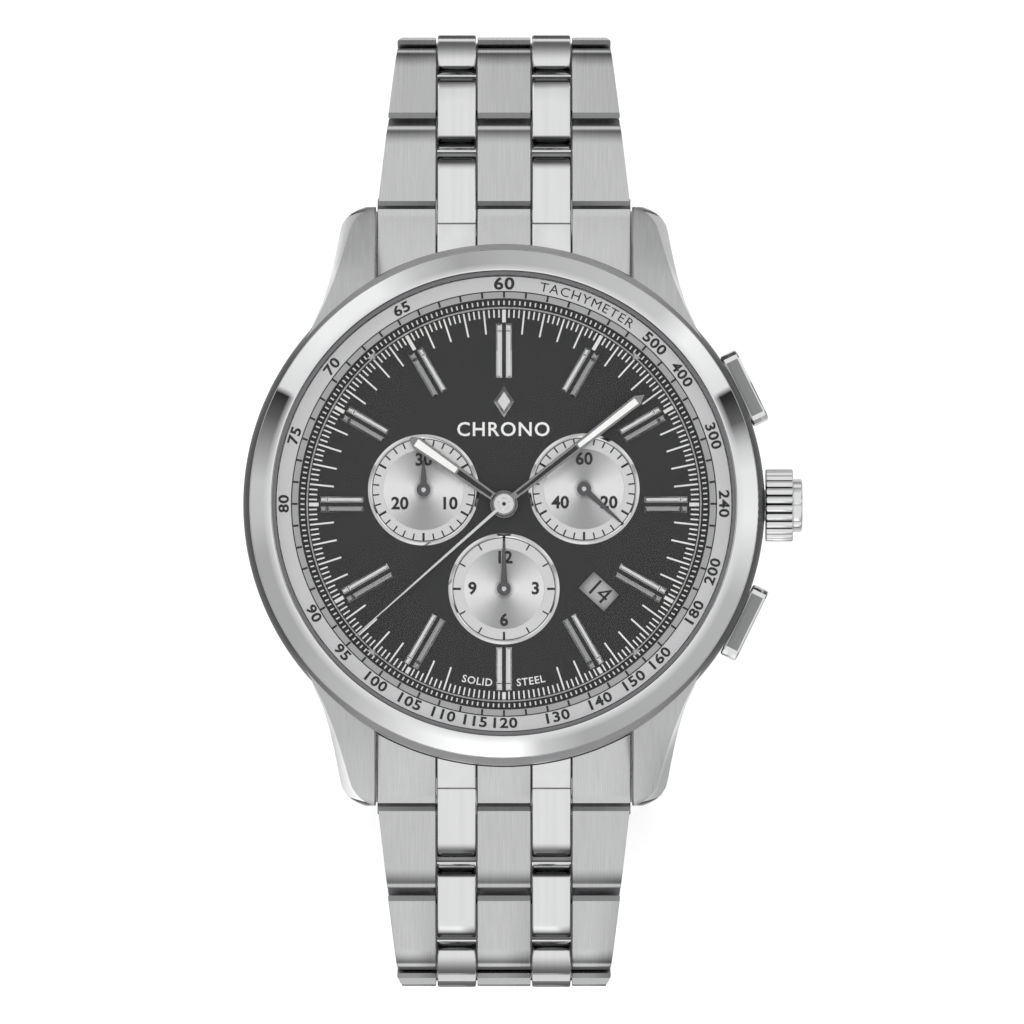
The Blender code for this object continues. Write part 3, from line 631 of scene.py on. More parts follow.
def make_lug(side, end):
    """One lug: brushed top, polished bevel along its outer edge, lofted from the case to the tip."""
    shape = bmesh.new()
    rings = []
    for y, outer, top, bottom, bevel in LUG_STATIONS:
        section = ((LUG_INNER, bottom), (outer - 0.25, bottom), (outer, bottom + 0.25),
                   (outer, top - bevel * 0.38), (outer - bevel, top), (LUG_INNER + 0.1, top),
                   (LUG_INNER, top - 0.1))
        rings.append([shape.verts.new(Vector((side * x, end * y, z)) * MM) for x, z in section])
    for a, b in zip(rings, rings[1:]):
        for i in range(len(a)):
            j = (i + 1) % len(a)
            face = shape.faces.new((a[i], a[j], b[j], b[i]))
            face.material_index = 1 if i in BEVEL_SIDES else 0
    shape.faces.new(rings[0])
    shape.faces.new(rings[-1]).material_index = 1
    lug = from_bmesh("lug", shape)
    for finish in (LUG_BRUSHED, POLISHED):
        lug.data.materials.append(finish)
    return placed(lug, (0.0, 0.0, CASE_Z))


def radial(obj, angle=0.0):
    """Put something made along X at the stem's height, at an angle from 3 o'clock."""
    return placed(obj, (0.0, 0.0, STEM_Z), (0.0, 0.0, angle))


def bore(radius, angle):
    """Cutting tool for a bore through the wall of the case."""
    return radial(solid("bore", [ring_of(radius, 32)], 16.0, 23.0, SIDE), angle)


def turned(name, profile, finish, slot, node, steps=192, sharp=30.0, closed=True):
    """A turned part that rides on the case and stands for one CAD node."""
    part = dressed(lathe(name, profile, steps, lift=CASE_Z, closed=closed), finish, sharp=sharp)
    settle(part, "case", slot, node)


def make_case():
    """Case with its lugs, bores and pusher pockets, then the bezel, the seal and the crystal."""
    profile = [(18.92, 8.08), (20.96, 8.08), (21.02, 8.00), (21.26, 7.62), (21.42, 7.28), (21.5, 6.95),
               (21.5, 2.9), (21.4, 2.6), (20.7, 1.68), (20.5, 1.6), (18.02, 1.6), (18.02, 6.88),
               (18.92, 6.88)]
    case = dressed(lathe("case_middle_body", profile, 192, lift=CASE_Z), ROUND_BRUSHED, POLISHED)
    carved(case, [make_lug(side, end) for side in (-1, 1) for end in (-1, 1)], "UNION")
    tools = [bore(1.34, 0.0)]
    for angle in PUSHERS.values():
        pocket = box("pocket", (20.36, -3.35, -1.75), (24.0, 3.35, 1.75))
        tools += [bore(1.24, angle), radial(pocket, angle)]
    carved(case, tools)
    # The case's steep shoulder takes the painted reflection.
    refinish(case, shoulder_steel(), lambda centre, normal: 0.05 < normal.z < 0.95
             and centre.z > CASE_Z + 6.9 and 20.9 < centre.xy.length < 21.55)
    settle(creased(case, 24.0), "case", "brushed_steel", "case_middle")

    profile = [(19.16, 10.36), (19.18, 10.42), (19.24, 10.45), (19.31, 10.43), (20.74, 9.19), (20.80, 9.12),
               (20.90, 9.06), (20.96, 8.96), (CASE_R, 8.8), (CASE_R, 8.3), (20.9, 8.17), (18.86, 8.17),
               (18.86, 8.8), (19.16, 8.8)]
    turned("bezel_ring", profile, MIRROR, "polished_steel", "bezel", 256, 60.0)
    profile = [(18.83, 10.1), (19.12, 10.1), (19.12, 8.85), (18.83, 8.85)]
    turned("crystal_seal", profile, SEAL, "seal_rubber", "crystal_gasket")
    profile = [(0.0, 10.58), (12.0, 10.58), (18.45, 10.58), (18.55, 10.55), (18.76, 10.32), (18.78, 10.25),
               (18.78, 8.92), (0.0, 8.92)]
    turned("sapphire_crystal", profile, GLASS, "sapphire", "crystal", closed=False)


# ---- tachymeter flange ----
CONE_IN, CONE_OUT = 16.95, 18.72               # radii of the printed cone
CONE_FOOT, CONE_TOP = 8.3, 8.72                # heights of its two edges above the case back
CONE_SPLIT = 17.5                              # radius of the printed circle, darker inside it
WALL_IN, WALL_OUT = 16.12, 16.9                # radii of the steep wall below the cone
WALL_FOOT, WALL_TOP = 7.02, 8.26
SCALE_R = 18.1                                 # radius of the numerals' middle
TACHYMETER = (60, 65, 70, 75, 80, 90, 95, 100, 105, 110, 115, 120, 130, 140, 150, 160, 180, 200, 240, 300,
              400, 500)
TOPS_INWARD = range(90, 201)


def flange_height(radius):
    """Height of print on the cone."""
    slope = (CONE_TOP - CONE_FOOT) / (CONE_OUT - CONE_IN)
    return CASE_Z + CONE_FOOT + (radius - CONE_IN) * slope + 0.008


def wall_height(radius):
    """Height of the marks on the steep wall: a thin hoop and painted reflections of the dial's ticks."""
    slope = (WALL_TOP - WALL_FOOT) / (WALL_OUT - WALL_IN)
    return CASE_Z + WALL_FOOT + (radius - WALL_IN) * slope + 0.02


def make_flange():
    """Ring between crystal and dial: black wall with painted white reflections of the dial's ticks, silver
    cone with a printed scale.
    """
    split_height = CONE_FOOT + (CONE_SPLIT - CONE_IN) * (CONE_TOP - CONE_FOOT) / (CONE_OUT - CONE_IN)
    profile = [(CONE_OUT, CONE_TOP), (18.74, 8.68), (18.74, 6.98), (WALL_IN, 6.98), (WALL_IN, WALL_FOOT),
               (WALL_OUT, WALL_TOP), (CONE_IN, CONE_FOOT), (CONE_SPLIT, split_height)]
    ring = dressed(lathe("tachymeter_flange", profile, 256, lift=CASE_Z), FLANGE)
    edge = CONE_IN - 0.02
    refinish(ring, WALL_BLACK, lambda centre, normal: centre.xy.length < edge and normal.z > 0.1)
    refinish(ring, FLANGE_SHADE, lambda centre, normal: edge < centre.xy.length < CONE_SPLIT
             and normal.z > 0.1)
    settle(ring, "case", "silver_print", "flange_ring")

    step = Print()
    step.hoop(AXIS, 16.22, 0.06, wall_height, 256)
    settle(step.made("flange_wall_step", FLANGE), "case", "silver_print")
    # White marks on the wall: painted reflections of the dial's ticks.
    painted_tick_glints = Print()
    for quarter in range(QUARTERS):
        painted_tick_glints.bar(AXIS, 16.44, 16.76, 0.062, quarter * QUARTER_TURN, wall_height)
    settle(painted_tick_glints.made("flange_wall_painted_glints", WHITE), "case", "silver_print")

    marks = Print()
    marks.hoop(AXIS, CONE_SPLIT, 0.045, flange_height, 256)
    for second in range(60):
        marks.bar(AXIS, 17.0, 17.46, 0.085, second * 6.0, flange_height)
    for speed in TACHYMETER:
        upright = -1 if speed in TOPS_INWARD else 1
        size = 1.36 if speed == 60 else 1.16
        marks.curved(str(speed), size, SCALE_R, 21600.0 / speed, upright, flange_height, 1.08, 1.22, 0.028)
    marks.curved("TACHYMETER", 1.06, SCALE_R, 22.6, 1, flange_height, 1.16, 1.12, 0.0)
    settle(marks.made("tachymeter_print", BLACK), "case", "silver_print")


# ---- dial ----
BATONS = {0: (10.46, 14.9), 1: (10.55, 14.6), 2: (11.25, 15.1), 3: (11.6, 15.16), 4: (10.8, 15.16),
          5: (10.75, 15.4), 6: (11.8, 15.35)}  # near and far radius, by hours from 12
WORD_MINUTES = (28, 29, 31, 32)                # minutes whose long lines make room for the words
TRACK_IN, TRACK_OUT = 15.42, 16.08             # radii of the minute track
CAP_LENGTH, CAP_GAP = 0.56, 0.06               # outer end of a baton, cut off by a fine gap
WORDS_R = 14.75


def make_dial():
    """Plate with its holes, date window, minute track, words and applied batons."""
    length, width = 2.9, 1.9
    half = [(-width / 2, DATE_R - length / 2), (width / 2, DATE_R - length / 2),
            (width / 2, DATE_R + length / 2), (-width / 2, DATE_R + length / 2)]
    turn = Matrix.Rotation(-math.radians(DATE_ANGLE), 2)
    window = [tuple(turn @ Vector(point)) for point in half]
    loops = [ring_of(17.8, 192), ring_of(1.15, 48), window]
    loops += [ring_of(0.4, 24, centre) for centre in (MINUTES_AT, SECONDS_AT, HOURS_AT)]
    plate = solid("dial_plate", loops, CASE_Z + 6.5, DIAL_Z, edge=0.03, edge_steps=1)
    settle(dressed(plate, DIAL), "case", "dial_lacquer", "dial")

    outer = [(u * 1.13, DATE_R + (v - DATE_R) * 1.09) for u, v in half]
    inner = [(u * 0.97, DATE_R + (v - DATE_R) * 0.98) for u, v in half]
    rim = solid("date_window_frame", [outer, inner], DIAL_Z - 0.1, DIAL_Z + 0.05, edge=0.03, edge_steps=1)
    settle(placed(dressed(rim, DIAL), (0, 0, 0), (0, 0, -DATE_ANGLE)), "case", "dial_lacquer")

    track = Print()
    top = level(DIAL_Z + 0.006)
    for quarter in range(QUARTERS):
        minute, rest = divmod(quarter, 4)
        near, breadth = TRACK_IN, 0.062
        if quarter % 20 == 0:
            hour = quarter // 20
            near, breadth = BATONS[min(hour, 12 - hour)][1] + 0.12, 0.15
        elif rest == 0 and minute not in WORD_MINUTES:
            near, breadth = 14.1, 0.07
        track.bar(AXIS, near, TRACK_OUT, breadth, quarter * QUARTER_TURN, top)
    track.words("CHRONO", 1.62, (-0.05, 6.15), 0.0, DIAL_Z + 0.004, 1.12)
    track.curved("SOLID", 0.86, WORDS_R, 188.6, -1, top, 1.1)
    track.curved("STEEL", 0.86, WORDS_R, 171.4, -1, top, 1.1)
    settle(track.made("dial_print", WHITE), "case", "dial_lacquer")
    ground = Print()
    ground.hoop(AXIS, 15.74, 0.37, level(DIAL_Z + 0.002), 256)
    settle(ground.made("minute_track_ground", BLACK), "case", "dial_lacquer")

    bars = []
    for hour in range(12):
        near, far = BATONS[min(hour, 12 - hour)]
        for side in (-1, 1):
            low, high = sorted((side * 0.16, side * 0.66))
            # Each baton's half towards the light takes the bright steel and the other half the darker copy:
            # painted highlight and painted shade.
            painted_lit_side = hour in (0, 6) or (side < 0) == (hour < 6)
            for start, stop in ((near, far - CAP_LENGTH - CAP_GAP), (far - CAP_LENGTH, far)):
                loop = [(low, start), (high, start), (high, stop), (low, stop)]
                bar = dressed(solid("bar", [loop], -0.2, 0.30, edge=0.14, edge_steps=1),
                              BRIGHT if painted_lit_side else SHADED)
                bars.append(placed(bar, (0, 0, DIAL_Z - 0.02), (0, 0, -30.0 * hour)))
    loop = [(0, 7.2), (0.85, 8.5), (0, 9.8), (-0.85, 8.5)]
    lozenge = dressed(solid("lozenge", [loop], -0.3, 0.3, edge=0.28, edge_steps=1), BRIGHT)
    bars.append(placed(lozenge, (0, 0, DIAL_Z - 0.02)))
    settle(joined("applied_indices", bars), "case", "polished_steel")


GROOVES, OUTER_GROOVES = 26, 7
NUMBERED_R = 4.22                              # radius of a sub-dial's printed circle


def make_subdial(name, centre, labels, ticks, heavy):
    """Silver register: chamfered rim, circular-grained disc, black scale and numerals."""
    rim = [(4.28, 0.10), (4.36, 0.16), (4.58, 0.03), (4.60, -0.02), (4.2, -0.02), (4.2, 0.03)]
    ring = dressed(lathe(name + "_rim", rim, 128, centre, DIAL_Z), BRIGHT, sharp=20.0)
    profile = [(0.5, -0.02), (0.5, 0.03)]
    step = (GRAINED_R - 0.56) / GROOVES
    for i in range(GROOVES):
        r = 0.52 + step * i
        profile += [(r, 0.030), (r + step * 0.45, 0.046)]
    profile += [(GRAINED_R, 0.03), (GRAINED_R + 0.03, 0.055), (3.42, 0.055)]
    for i in range(OUTER_GROOVES):
        r = 3.44 + 0.8 * i / OUTER_GROOVES
        profile += [(r, 0.050), (r + 0.06, 0.060)]
    profile += [(4.27, 0.05), (4.27, -0.02)]
    disc = lathe(name + "_disc", profile, 128, centre, DIAL_Z)
    dressed(disc, snailed(name + "_silver", centre), sharp=20.0)
    settle(joined(name + "_register", [ring, disc]), "case", "dial_lacquer")
    marks = Print()
    top = level(DIAL_Z + 0.064)
    marks.hoop(centre, NUMBERED_R, 0.04, top, 128)
    for i in range(ticks):
        half, near = (0.095, 3.55) if i % heavy == 0 else (0.06, 3.68)
        marks.bar(centre, near, NUMBERED_R, half, 360.0 * i / ticks, top)
    for words, (x, y) in labels:
        marks.words(words, 1.40, (centre[0] + x, centre[1] + y), 0.0, DIAL_Z + 0.055, 1.02, 0.03)
    settle(marks.made(name + "_print", BLACK), "case", "dial_lacquer")


def make_subdials():
    """Minute counter, small seconds and hour counter."""
    make_subdial("minute_counter", MINUTES_AT, (("30", (0, 2.45)), ("10", (2.1, -1.15)),
                                                ("20", (-1.95, -1.15))), 30, 5)
    make_subdial("small_seconds", SECONDS_AT, (("60", (0, 2.45)), ("20", (2.05, -1.15)),
                                               ("40", (-1.95, -1.15))), 30, 5)
    make_subdial("hour_counter", HOURS_AT, (("12", (0, 2.55)), ("3", (2.6, 0)), ("6", (0, -2.6)),
                                            ("9", (-2.6, 0))), 12, 3)


DAYS = 31
DAY_SHOWN = 14


def make_date():
    """Date ring with its 31 numerals, the shown day under the window."""
    profile = [(9.02, 6.28), (9.04, 6.29), (12.96, 6.29), (12.98, 6.28), (12.98, 6.07), (9.02, 6.07)]
    ring = dressed(lathe("date_disc", profile, 128, lift=CASE_Z), DATE_WHITE)
    settle(ring, "date_ring", "silver_print", "date_ring")
    marks = Print()
    for day in range(1, DAYS + 1):
        angle = DATE_ANGLE + (DAY_SHOWN - day) * 360.0 / DAYS
        marks.words(str(day), 2.1, clock(DATE_R, angle), angle - 90.0, CASE_Z + 6.292, 0.9, 0.0)
    settle(marks.made("date_numerals", BLACK), "date_ring", "silver_print")


# ---- hands ----
LIT_HANDS = (   # node and body, hub, hole, blade, its heights, foot of the inlays, slot, lume, clock angle
    ("hour_hand", 1.14, 1.04, [(0.36, 0.0), (0.54, 8.75), (0.14, 9.42)], (7.5, 7.7), 7.6,
     (0.17, 0.21, 1.25, 4.65, 7.712), (0.24, 0.33, 4.8, 8.85, 7.725), HOUR_ANGLE),
    ("minute_hand", 0.96, 0.70, [(0.30, 0.0), (0.46, 13.9), (0.0, 14.73)], (7.9, 8.08), 7.98,
     (0.12, 0.18, 1.35, 7.65, 8.09), (0.18, 0.27, 7.8, 13.85, 8.10), MINUTE_ANGLE))
SMALL_HANDS = (   # body, centre, clock angle, length
    ("minute_counter", MINUTES_AT, 0.0, 2.4), ("small_seconds", SECONDS_AT, SECONDS_ANGLE, 4.0),
    ("hour_counter", HOURS_AT, 0.0, 3.95))


def hand_outline(hub, blade):
    """A hub circle with a symmetrical blade on it; blade lists (half width, distance)."""
    open_angle = math.degrees(math.asin(blade[0][0] / hub))
    points = arc(hub, 48, (0.0, 0.0), 90.0 + open_angle, 450.0 - open_angle)
    points += blade[1:]
    points += [(-half, reach) for half, reach in reversed(blade[1:]) if half > 0.0]
    return points


def make_hands():
    """Hour and minute hands with a black slot and lume, the chronograph needle and the small hands."""
    for name, hub, hole, blade, (low, high), foot, slot, lume, angle in LIT_HANDS:
        outline = [hand_outline(hub, blade), ring_of(hole, 48)]
        parts = [dressed(solid("blade", outline, low, high, edge=0.08), HAND_STEEL)]
        for (root, tip, near, far, top), finish in ((slot, BLACK), (lume, LUME)):
            loop = [(-root, near), (root, near), (tip, far), (-tip, far)]
            parts.append(dressed(solid("inlay", [loop], foot, top, edge=0.01, edge_steps=1), finish))
        obj = placed(joined(name + "_dressed", parts), (0.0, 0.0, CASE_Z), (0.0, 0.0, -angle))
        settle(obj, name, "polished_steel", name)

    outline = hand_outline(0.84, [(0.15, 0.0), (0.055, 16.35)])
    needle = dressed(solid("needle", [outline], 8.28, 8.40, edge=0.03, edge_steps=1), BRIGHT)
    hub = [(0.17, 8.50), (0.42, 8.50), (0.54, 8.43), (0.56, 8.36), (0.56, 8.30), (0.17, 8.30)]
    post = lathe("post", [(0.0, 8.47), (0.16, 8.47), (0.16, 8.30), (0.0, 8.30)], 32, closed=False)
    parts = [needle, dressed(lathe("hub", hub, 48), BRIGHT), dressed(post, BLACK)]
    obj = placed(joined("chrono_hand_dressed", parts), (0.0, 0.0, CASE_Z), (0.0, 0.0, -CHRONO_ANGLE))
    settle(obj, "chrono_seconds", "polished_steel", "chrono_seconds_hand")

    for name, centre, angle, length in SMALL_HANDS:
        outline = hand_outline(0.58, [(0.24, 0.0), (0.09, length)])
        blade = dressed(solid("blade", [outline], 7.12, 7.24, edge=0.03, edge_steps=1), DARK_METAL_AND_SHADE)
        pin = [(0.0, 7.33), (0.14, 7.33), (0.20, 7.29), (0.24, 7.2), (0.24, 4.3), (0.0, 4.3)]
        boss = dressed(lathe("pin", pin, 32, closed=False), POLISHED)
        obj = placed(joined(name + "_hand_dressed", [blade, boss]), (*centre, CASE_Z), (0.0, 0.0, -angle))
        settle(obj, name, "dark_hands", name + "_hand")


# ---- crown and push pieces ----
FLUTES = 24
FLUTE_STEPS = 10
FLUTE_DEPTH = 0.36
CROWN_R = 3.0
CAP_R = 2.2
CAP_STEPS = 96
CAP_NOTCHES = 8
SPRING_ROOM = 1.2                              # radius of the recess that takes a pusher's spring


def make_crown():
    """Fluted body with painted shade in its grooves, and a polished cap with shallow notches."""
    count = FLUTES * FLUTE_STEPS
    outline = []
    for i in range(count):
        ridge = math.sin(math.pi * (i % FLUTE_STEPS) / FLUTE_STEPS)
        r = CROWN_R - FLUTE_DEPTH + FLUTE_DEPTH * ridge ** 0.7
        outline.append((r * math.cos(TAU * i / count), r * math.sin(TAU * i / count)))
    body = solid("crown_body", [outline, ring_of(0.66, 32)], 21.56, 23.84, SIDE, edge=0.14, edge_steps=3)
    dressed(body, POLISHED, sharp=50.0)
    # The faces deep in the flutes take the dark steel: painted shade.
    refinish(body, DARK_METAL_AND_SHADE, lambda centre, normal: math.hypot(centre.y, centre.z) < CROWN_R - 0.2
             and abs(normal.x) < 0.5)
    outline = []
    for i in range(CAP_STEPS):
        angle = TAU * i / CAP_STEPS
        r = CAP_R - 0.16 * max(0.0, math.cos(CAP_NOTCHES * angle)) ** 8
        outline.append((r * math.cos(angle), r * math.sin(angle)))
    cap = dressed(solid("crown_cap", [outline], 23.7, 24.62, SIDE, edge=0.2, edge_steps=4), POLISHED,
                  sharp=50.0)
    neck = dressed(solid("crown_neck", [ring_of(1.95, 48)], 23.0, 23.9, SIDE), POLISHED)
    settle(radial(joined("crown_dressed", [body, cap, neck])), "crown", "polished_steel", "crown")


def make_pushers():
    """Rectangular caps: satin top, polished facets that slope away at both ends."""
    flat, end, top, foot = 2.42, 3.19, 1.6, 0.75
    quarter = [(flat, top), (flat + 0.36, top - 0.16), (end - 0.12, top - 0.48), (end, foot)]
    outline = quarter + [(u, -v) for u, v in reversed(quarter)]
    outline += [(-u, -v) for u, v in quarter] + [(-u, v) for u, v in reversed(quarter)]
    for name, angle in PUSHERS.items():
        cap = solid("cap", [outline], 21.36, 22.8, SIDE, edge=0.22, edge_steps=3)
        refinish(dressed(cap, POLISHED, sharp=20.0), SATIN_STEEL_AND_SHADE, lambda centre, normal: abs(normal.z) > 0.97)
        recess = dressed(solid("recess", [ring_of(SPRING_ROOM, 32)], 21.0, 22.25, SIDE), POLISHED)
        creased(carved(cap, [recess]), 20.0)
        shaft = dressed(solid("shaft", [ring_of(0.6, 32)], 16.92, 22.3, SIDE), TURNED)
        settle(radial(joined(name + "_dressed", [cap, shaft]), angle), name, "polished_steel", name)


# ---- bracelet ----
PITCH = 6.9                                    # from one pin to the next
HALF = 1.5                                     # half a link's thickness
CENTRE = 2.2                                   # half width of the centre column
COLUMN_GAP = 0.12
TONGUE = 3.2                                   # width of a polished column
INNER = CENTRE + 2 * COLUMN_GAP + TONGUE       # inner faces of the outer columns
OUTER_BLANK = 20.0                             # outer faces of a link before tapered() brings them in
SLITS = [side * x for side in (-1, 1) for x in (CENTRE + COLUMN_GAP / 2, INNER - COLUMN_GAP / 2)]
CORE_LAYERS = ((1.95, 4.98, 0.1, SATIN_STEEL_AND_SHADE), (4.98, 5.14, 0.0, DARK_METAL_AND_SHADE), (5.14, 5.28, 0.1, POLISHED))
FACING = {12: 0.0, 6: 180.0}                   # turn of each half of the bracelet about the upright
LINKS = 9
BARREL = 1.2                                   # radius of a column's far end about the next pin
BARREL_GAP = 0.1
CREST = 0.24                                   # how far the barrel's crest shows past the pin


def pins(hour):
    """Every pin of one half of the bracelet, from the case to the clasp, as (y, z) in millimetres."""
    places = [joint_place(f"link_{hour}h_{k}_hinge")[1:] for k in range(1, LINKS + 1)]
    sign = 1 if hour == 12 else -1
    last = joint_place("clasp_pivot")[1:]
    return places + [[sign * last[0], last[1]]]


def width_after(links):
    """Bracelet width after so many links from the case, read off the CAD nodes."""
    if links < 1:
        low, high = node_reach("end_link_12h")
        return high[0] - low[0]
    low, high = node_reach("link_12h_5")
    return high[0] - low[0] + (width_after(0) - high[0] + low[0]) * max(0.0, 1.0 - links / 2.5)


def barrel_end(y, z):
    """Far end of a column about the pin at (y, z): round underneath, stepped behind a narrow crest."""
    return (arc(BARREL, 9, (y, z), -60.0, -15.0) + [(y + CREST, z - 0.3), (y + CREST, z + BARREL - 0.04)]
            + arc(BARREL, 4, (y, z), 82.0, 93.0))


def wide_profile(lip):
    """Side outline of the brushed columns: hollow near end up to a chamfered lip, shouldered far end."""
    near = arc(BARREL + BARREL_GAP, 9, (0.0, 0.0), lip, -35.0)
    shoulder = arc(4.4, 11, (PITCH - 1.7, HALF - 4.4), 69.0, 90.0)
    return (near + [(2.3, -HALF), (PITCH - 0.7, -HALF)] + barrel_end(PITCH, 0.0) + shoulder
            + [(near[0][0] + 0.34, HALF)])


def tongue_profile():
    """Side outline of the polished columns: a slight roll at the near end, a rounder one at the far end."""
    end, reach, fall = 4.65, 1.5, 0.95
    roll_y, roll_z = 0.4, 1.2
    near = [(-HALF + roll_y + roll_y * u, HALF - roll_z + roll_z * v)
            for u, v in arc(1.0, 9, (0.0, 0.0), 90.0, 180.0)]
    far = [(end - reach + reach * u, HALF - fall + fall * v)
           for u, v in arc(1.0, 13, (0.0, 0.0), 0.0, 90.0)]
    foot = arc(0.3, 4, (end - 0.3, 0.3 - HALF), -90.0, 0.0)
    return near + arc(HALF, 9, (0.0, 0.0), 180.0, 270.0) + foot + far


def tapered(obj, near, far):
    """Bring the outer face of an outer column to the bracelet's width."""
    for vertex in obj.data.vertices:
        if abs(vertex.co.x) > 15.0 * MM:
            share = vertex.co.y / (PITCH * MM)
            inset = OUTER_BLANK * MM - abs(vertex.co.x)
            vertex.co.x = math.copysign((near + (far - near) * share) / 2 * MM - inset, vertex.co.x)
    return obj


def make_columns(profile, outer):
    """The left, centre and right brushed columns."""
    return [solid("column", [profile], low, high, SIDE, edge=0.09)
            for low, high in ((-outer, -INNER), (-CENTRE, CENTRE), (INNER, outer))]


def make_tongue(side, profile, edge, edge_steps, finish):
    """The polished column on one side of the centre."""
    low, high = sorted((side * (CENTRE + COLUMN_GAP), side * (INNER - COLUMN_GAP)))
    return dressed(solid("tongue", [profile], low, high, SIDE, edge=edge, edge_steps=edge_steps), finish)


def make_web(x, near, far, low, high):
    """Dark filler in a gap between two columns: painted shade deep in the gap."""
    half = COLUMN_GAP * 0.45
    return dressed(box("web", (x - half, near, low), (x + half, far, high)), DARK_METAL_AND_SHADE)


def make_link(hour, number, pin, after):
    """One link in two pieces: the brushed columns with their fillers, and the polished columns."""
    near, far = width_after(number - 1), width_after(number)
    name = f"link_{hour}h_{number}"
    parts = make_columns(wide_profile(76.0 if number == 1 else 62.0), OUTER_BLANK)
    for column in (parts[0], parts[2]):
        tapered(column, near, far)
    for column in parts:
        dressed(column, BRUSHED)
        # Faces towards the near end that also face up, the lip's chamfer and the lower hollow, take the
        # darker satin steel: painted shade.
        refinish(column, SATIN_STEEL_AND_SHADE, lambda centre, normal: normal.y < -0.3 and normal.z > 0.1)
        # Faces of the far end that lie deep in the gap behind the crest take the dark steel: painted shade.
        refinish(column, DARK_METAL_AND_SHADE, lambda centre, normal: centre.y > PITCH + CREST - 0.02
                 and centre.z < 1.0)
    # Dark fillers in the slits between the columns: painted shade.
    for x in SLITS:
        parts.append(make_web(x, 1.38, 4.7, -1.2, 1.05))
        if number < LINKS:
            parts.append(make_web(x, 4.7, PITCH + 0.7, -0.9, 0.6))
    reach = far / 2 - 0.7
    for start, stop, top, finish in CORE_LAYERS[:1 if number == LINKS else 3]:
        parts.append(dressed(box("core", (-reach, start, -1.1), (reach, stop, top)), finish))
    wide = joined(name + "_wide", parts)
    tongues = [make_tongue(side, tongue_profile(), 0.16, 3, LINK_POLISHED) for side in (-1, 1)]
    polished = joined(name + "_tongues", tongues)
    sign = 1 if hour == 12 else -1
    slope = math.degrees(math.atan2(pin[1] - after[1], sign * (after[0] - pin[0])))
    for obj in (wide, polished):
        placed(obj, (0.0, pin[0], pin[1]), (-slope, 0.0, FACING[hour]))
    settle(wide, name, "brushed_steel", name)
    settle(polished, name, "polished_steel")


def make_end_link(hour, pin):
    """The end link between two lugs, hollowed to the case's flank, with dark fillers that paint the shade
    in its gaps.
    """
    half = width_after(0) / 2
    y, h = abs(pin[0]), pin[1] - CASE_Z
    stop = y - HALF - 0.12
    lip = y - 0.85
    body = [(18.0, 1.6), (19.8, 0.3), (20.35, -0.18), (22.3, -0.18), (stop, 0.2), (stop, h + 0.6),
            (lip, h + HALF - 0.02), (lip - 0.25, h + HALF + 0.1), (21.3, 4.75), (18.0, 5.9)]
    prong = [(21.9, 0.3)] + barrel_end(y, h)
    prong += [(y - 0.42, h + 1.38), (21.6, 4.66), (18.0, 5.85), (18.0, 1.6)]
    parts = make_columns(prong, half)
    for column in parts:
        dressed(column, END_BRUSHED)
        # Faces of the prong's far end deep in the gap behind the crest take the dark steel: painted shade.
        refinish(column, DARK_METAL_AND_SHADE, lambda centre, normal: centre.y > y + CREST - 0.02
                 and centre.z < h + 1.0)
    parts += [make_tongue(side, body, 0.13, 2, POLISHED) for side in (-1, 1)]
    parts += [make_web(x, stop - 0.3, y + 0.7, h - 0.9, h + 0.6) for x in SLITS]
    parts.append(dressed(box("core", (-half + 0.5, 20.4, -0.15), (half - 0.5, 22.4, 1.3)), SATIN_STEEL_AND_SHADE))
    for low, high in ((-LUG_INNER + 0.02, -half - 0.02), (half + 0.02, LUG_INNER - 0.02)):
        parts.append(dressed(box("web", (low, 18.6, -0.1), (high, 24.4, 2.6)), TURNED))
    bowl = [(0.0, 1.45), (FLANK_R + 0.1, 1.45), (FLANK_R + 0.1, 9.0), (0.0, 9.0)]
    obj = joined(f"end_link_{hour}h_dressed", parts)
    creased(carved(obj, [lathe("hollow", bowl, 192, closed=False)]))
    placed(obj, (0.0, 0.0, CASE_Z), (0.0, 0.0, FACING[hour]))
    settle(obj, "case", "brushed_steel", f"end_link_{hour}h")


def make_bracelet():
    """Both halves of the bracelet, from the case to the clasp."""
    for hour in (12, 6):
        places = pins(hour)
        make_end_link(hour, places[0])
        for number in range(1, LINKS + 1):
            make_link(hour, number, places[number - 1], places[number])


# ---- case back ----
def make_back():
    """Case back with six notches round its edge."""
    profile = [(0.0, 1.3), (16.8, 1.3), (16.8, 2.18), (17.9, 2.18), (17.9, 1.3), (18.55, 1.3),
               (18.58, 1.25), (18.58, 0.85), (18.5, 0.68), (17.9, 0.1), (17.75, 0.02), (17.6, 0.0),
               (14.4, 0.0), (14.3, 0.06), (14.2, 0.0), (11.0, 0.0), (0.0, 0.0)]
    back = dressed(lathe("case_back_lid", profile, 160, lift=CASE_Z, closed=False), ROUND_BRUSHED)
    notches = []
    for i in range(6):
        notch = box("notch", (17.1, -1.2, -0.5), (19.5, 1.2, 0.45))
        notches.append(placed(notch, (0.0, 0.0, CASE_Z), (0.0, 0.0, 60.0 * i + 30.0)))
    settle(creased(carved(back, notches)), "case", "brushed_steel", "case_back")


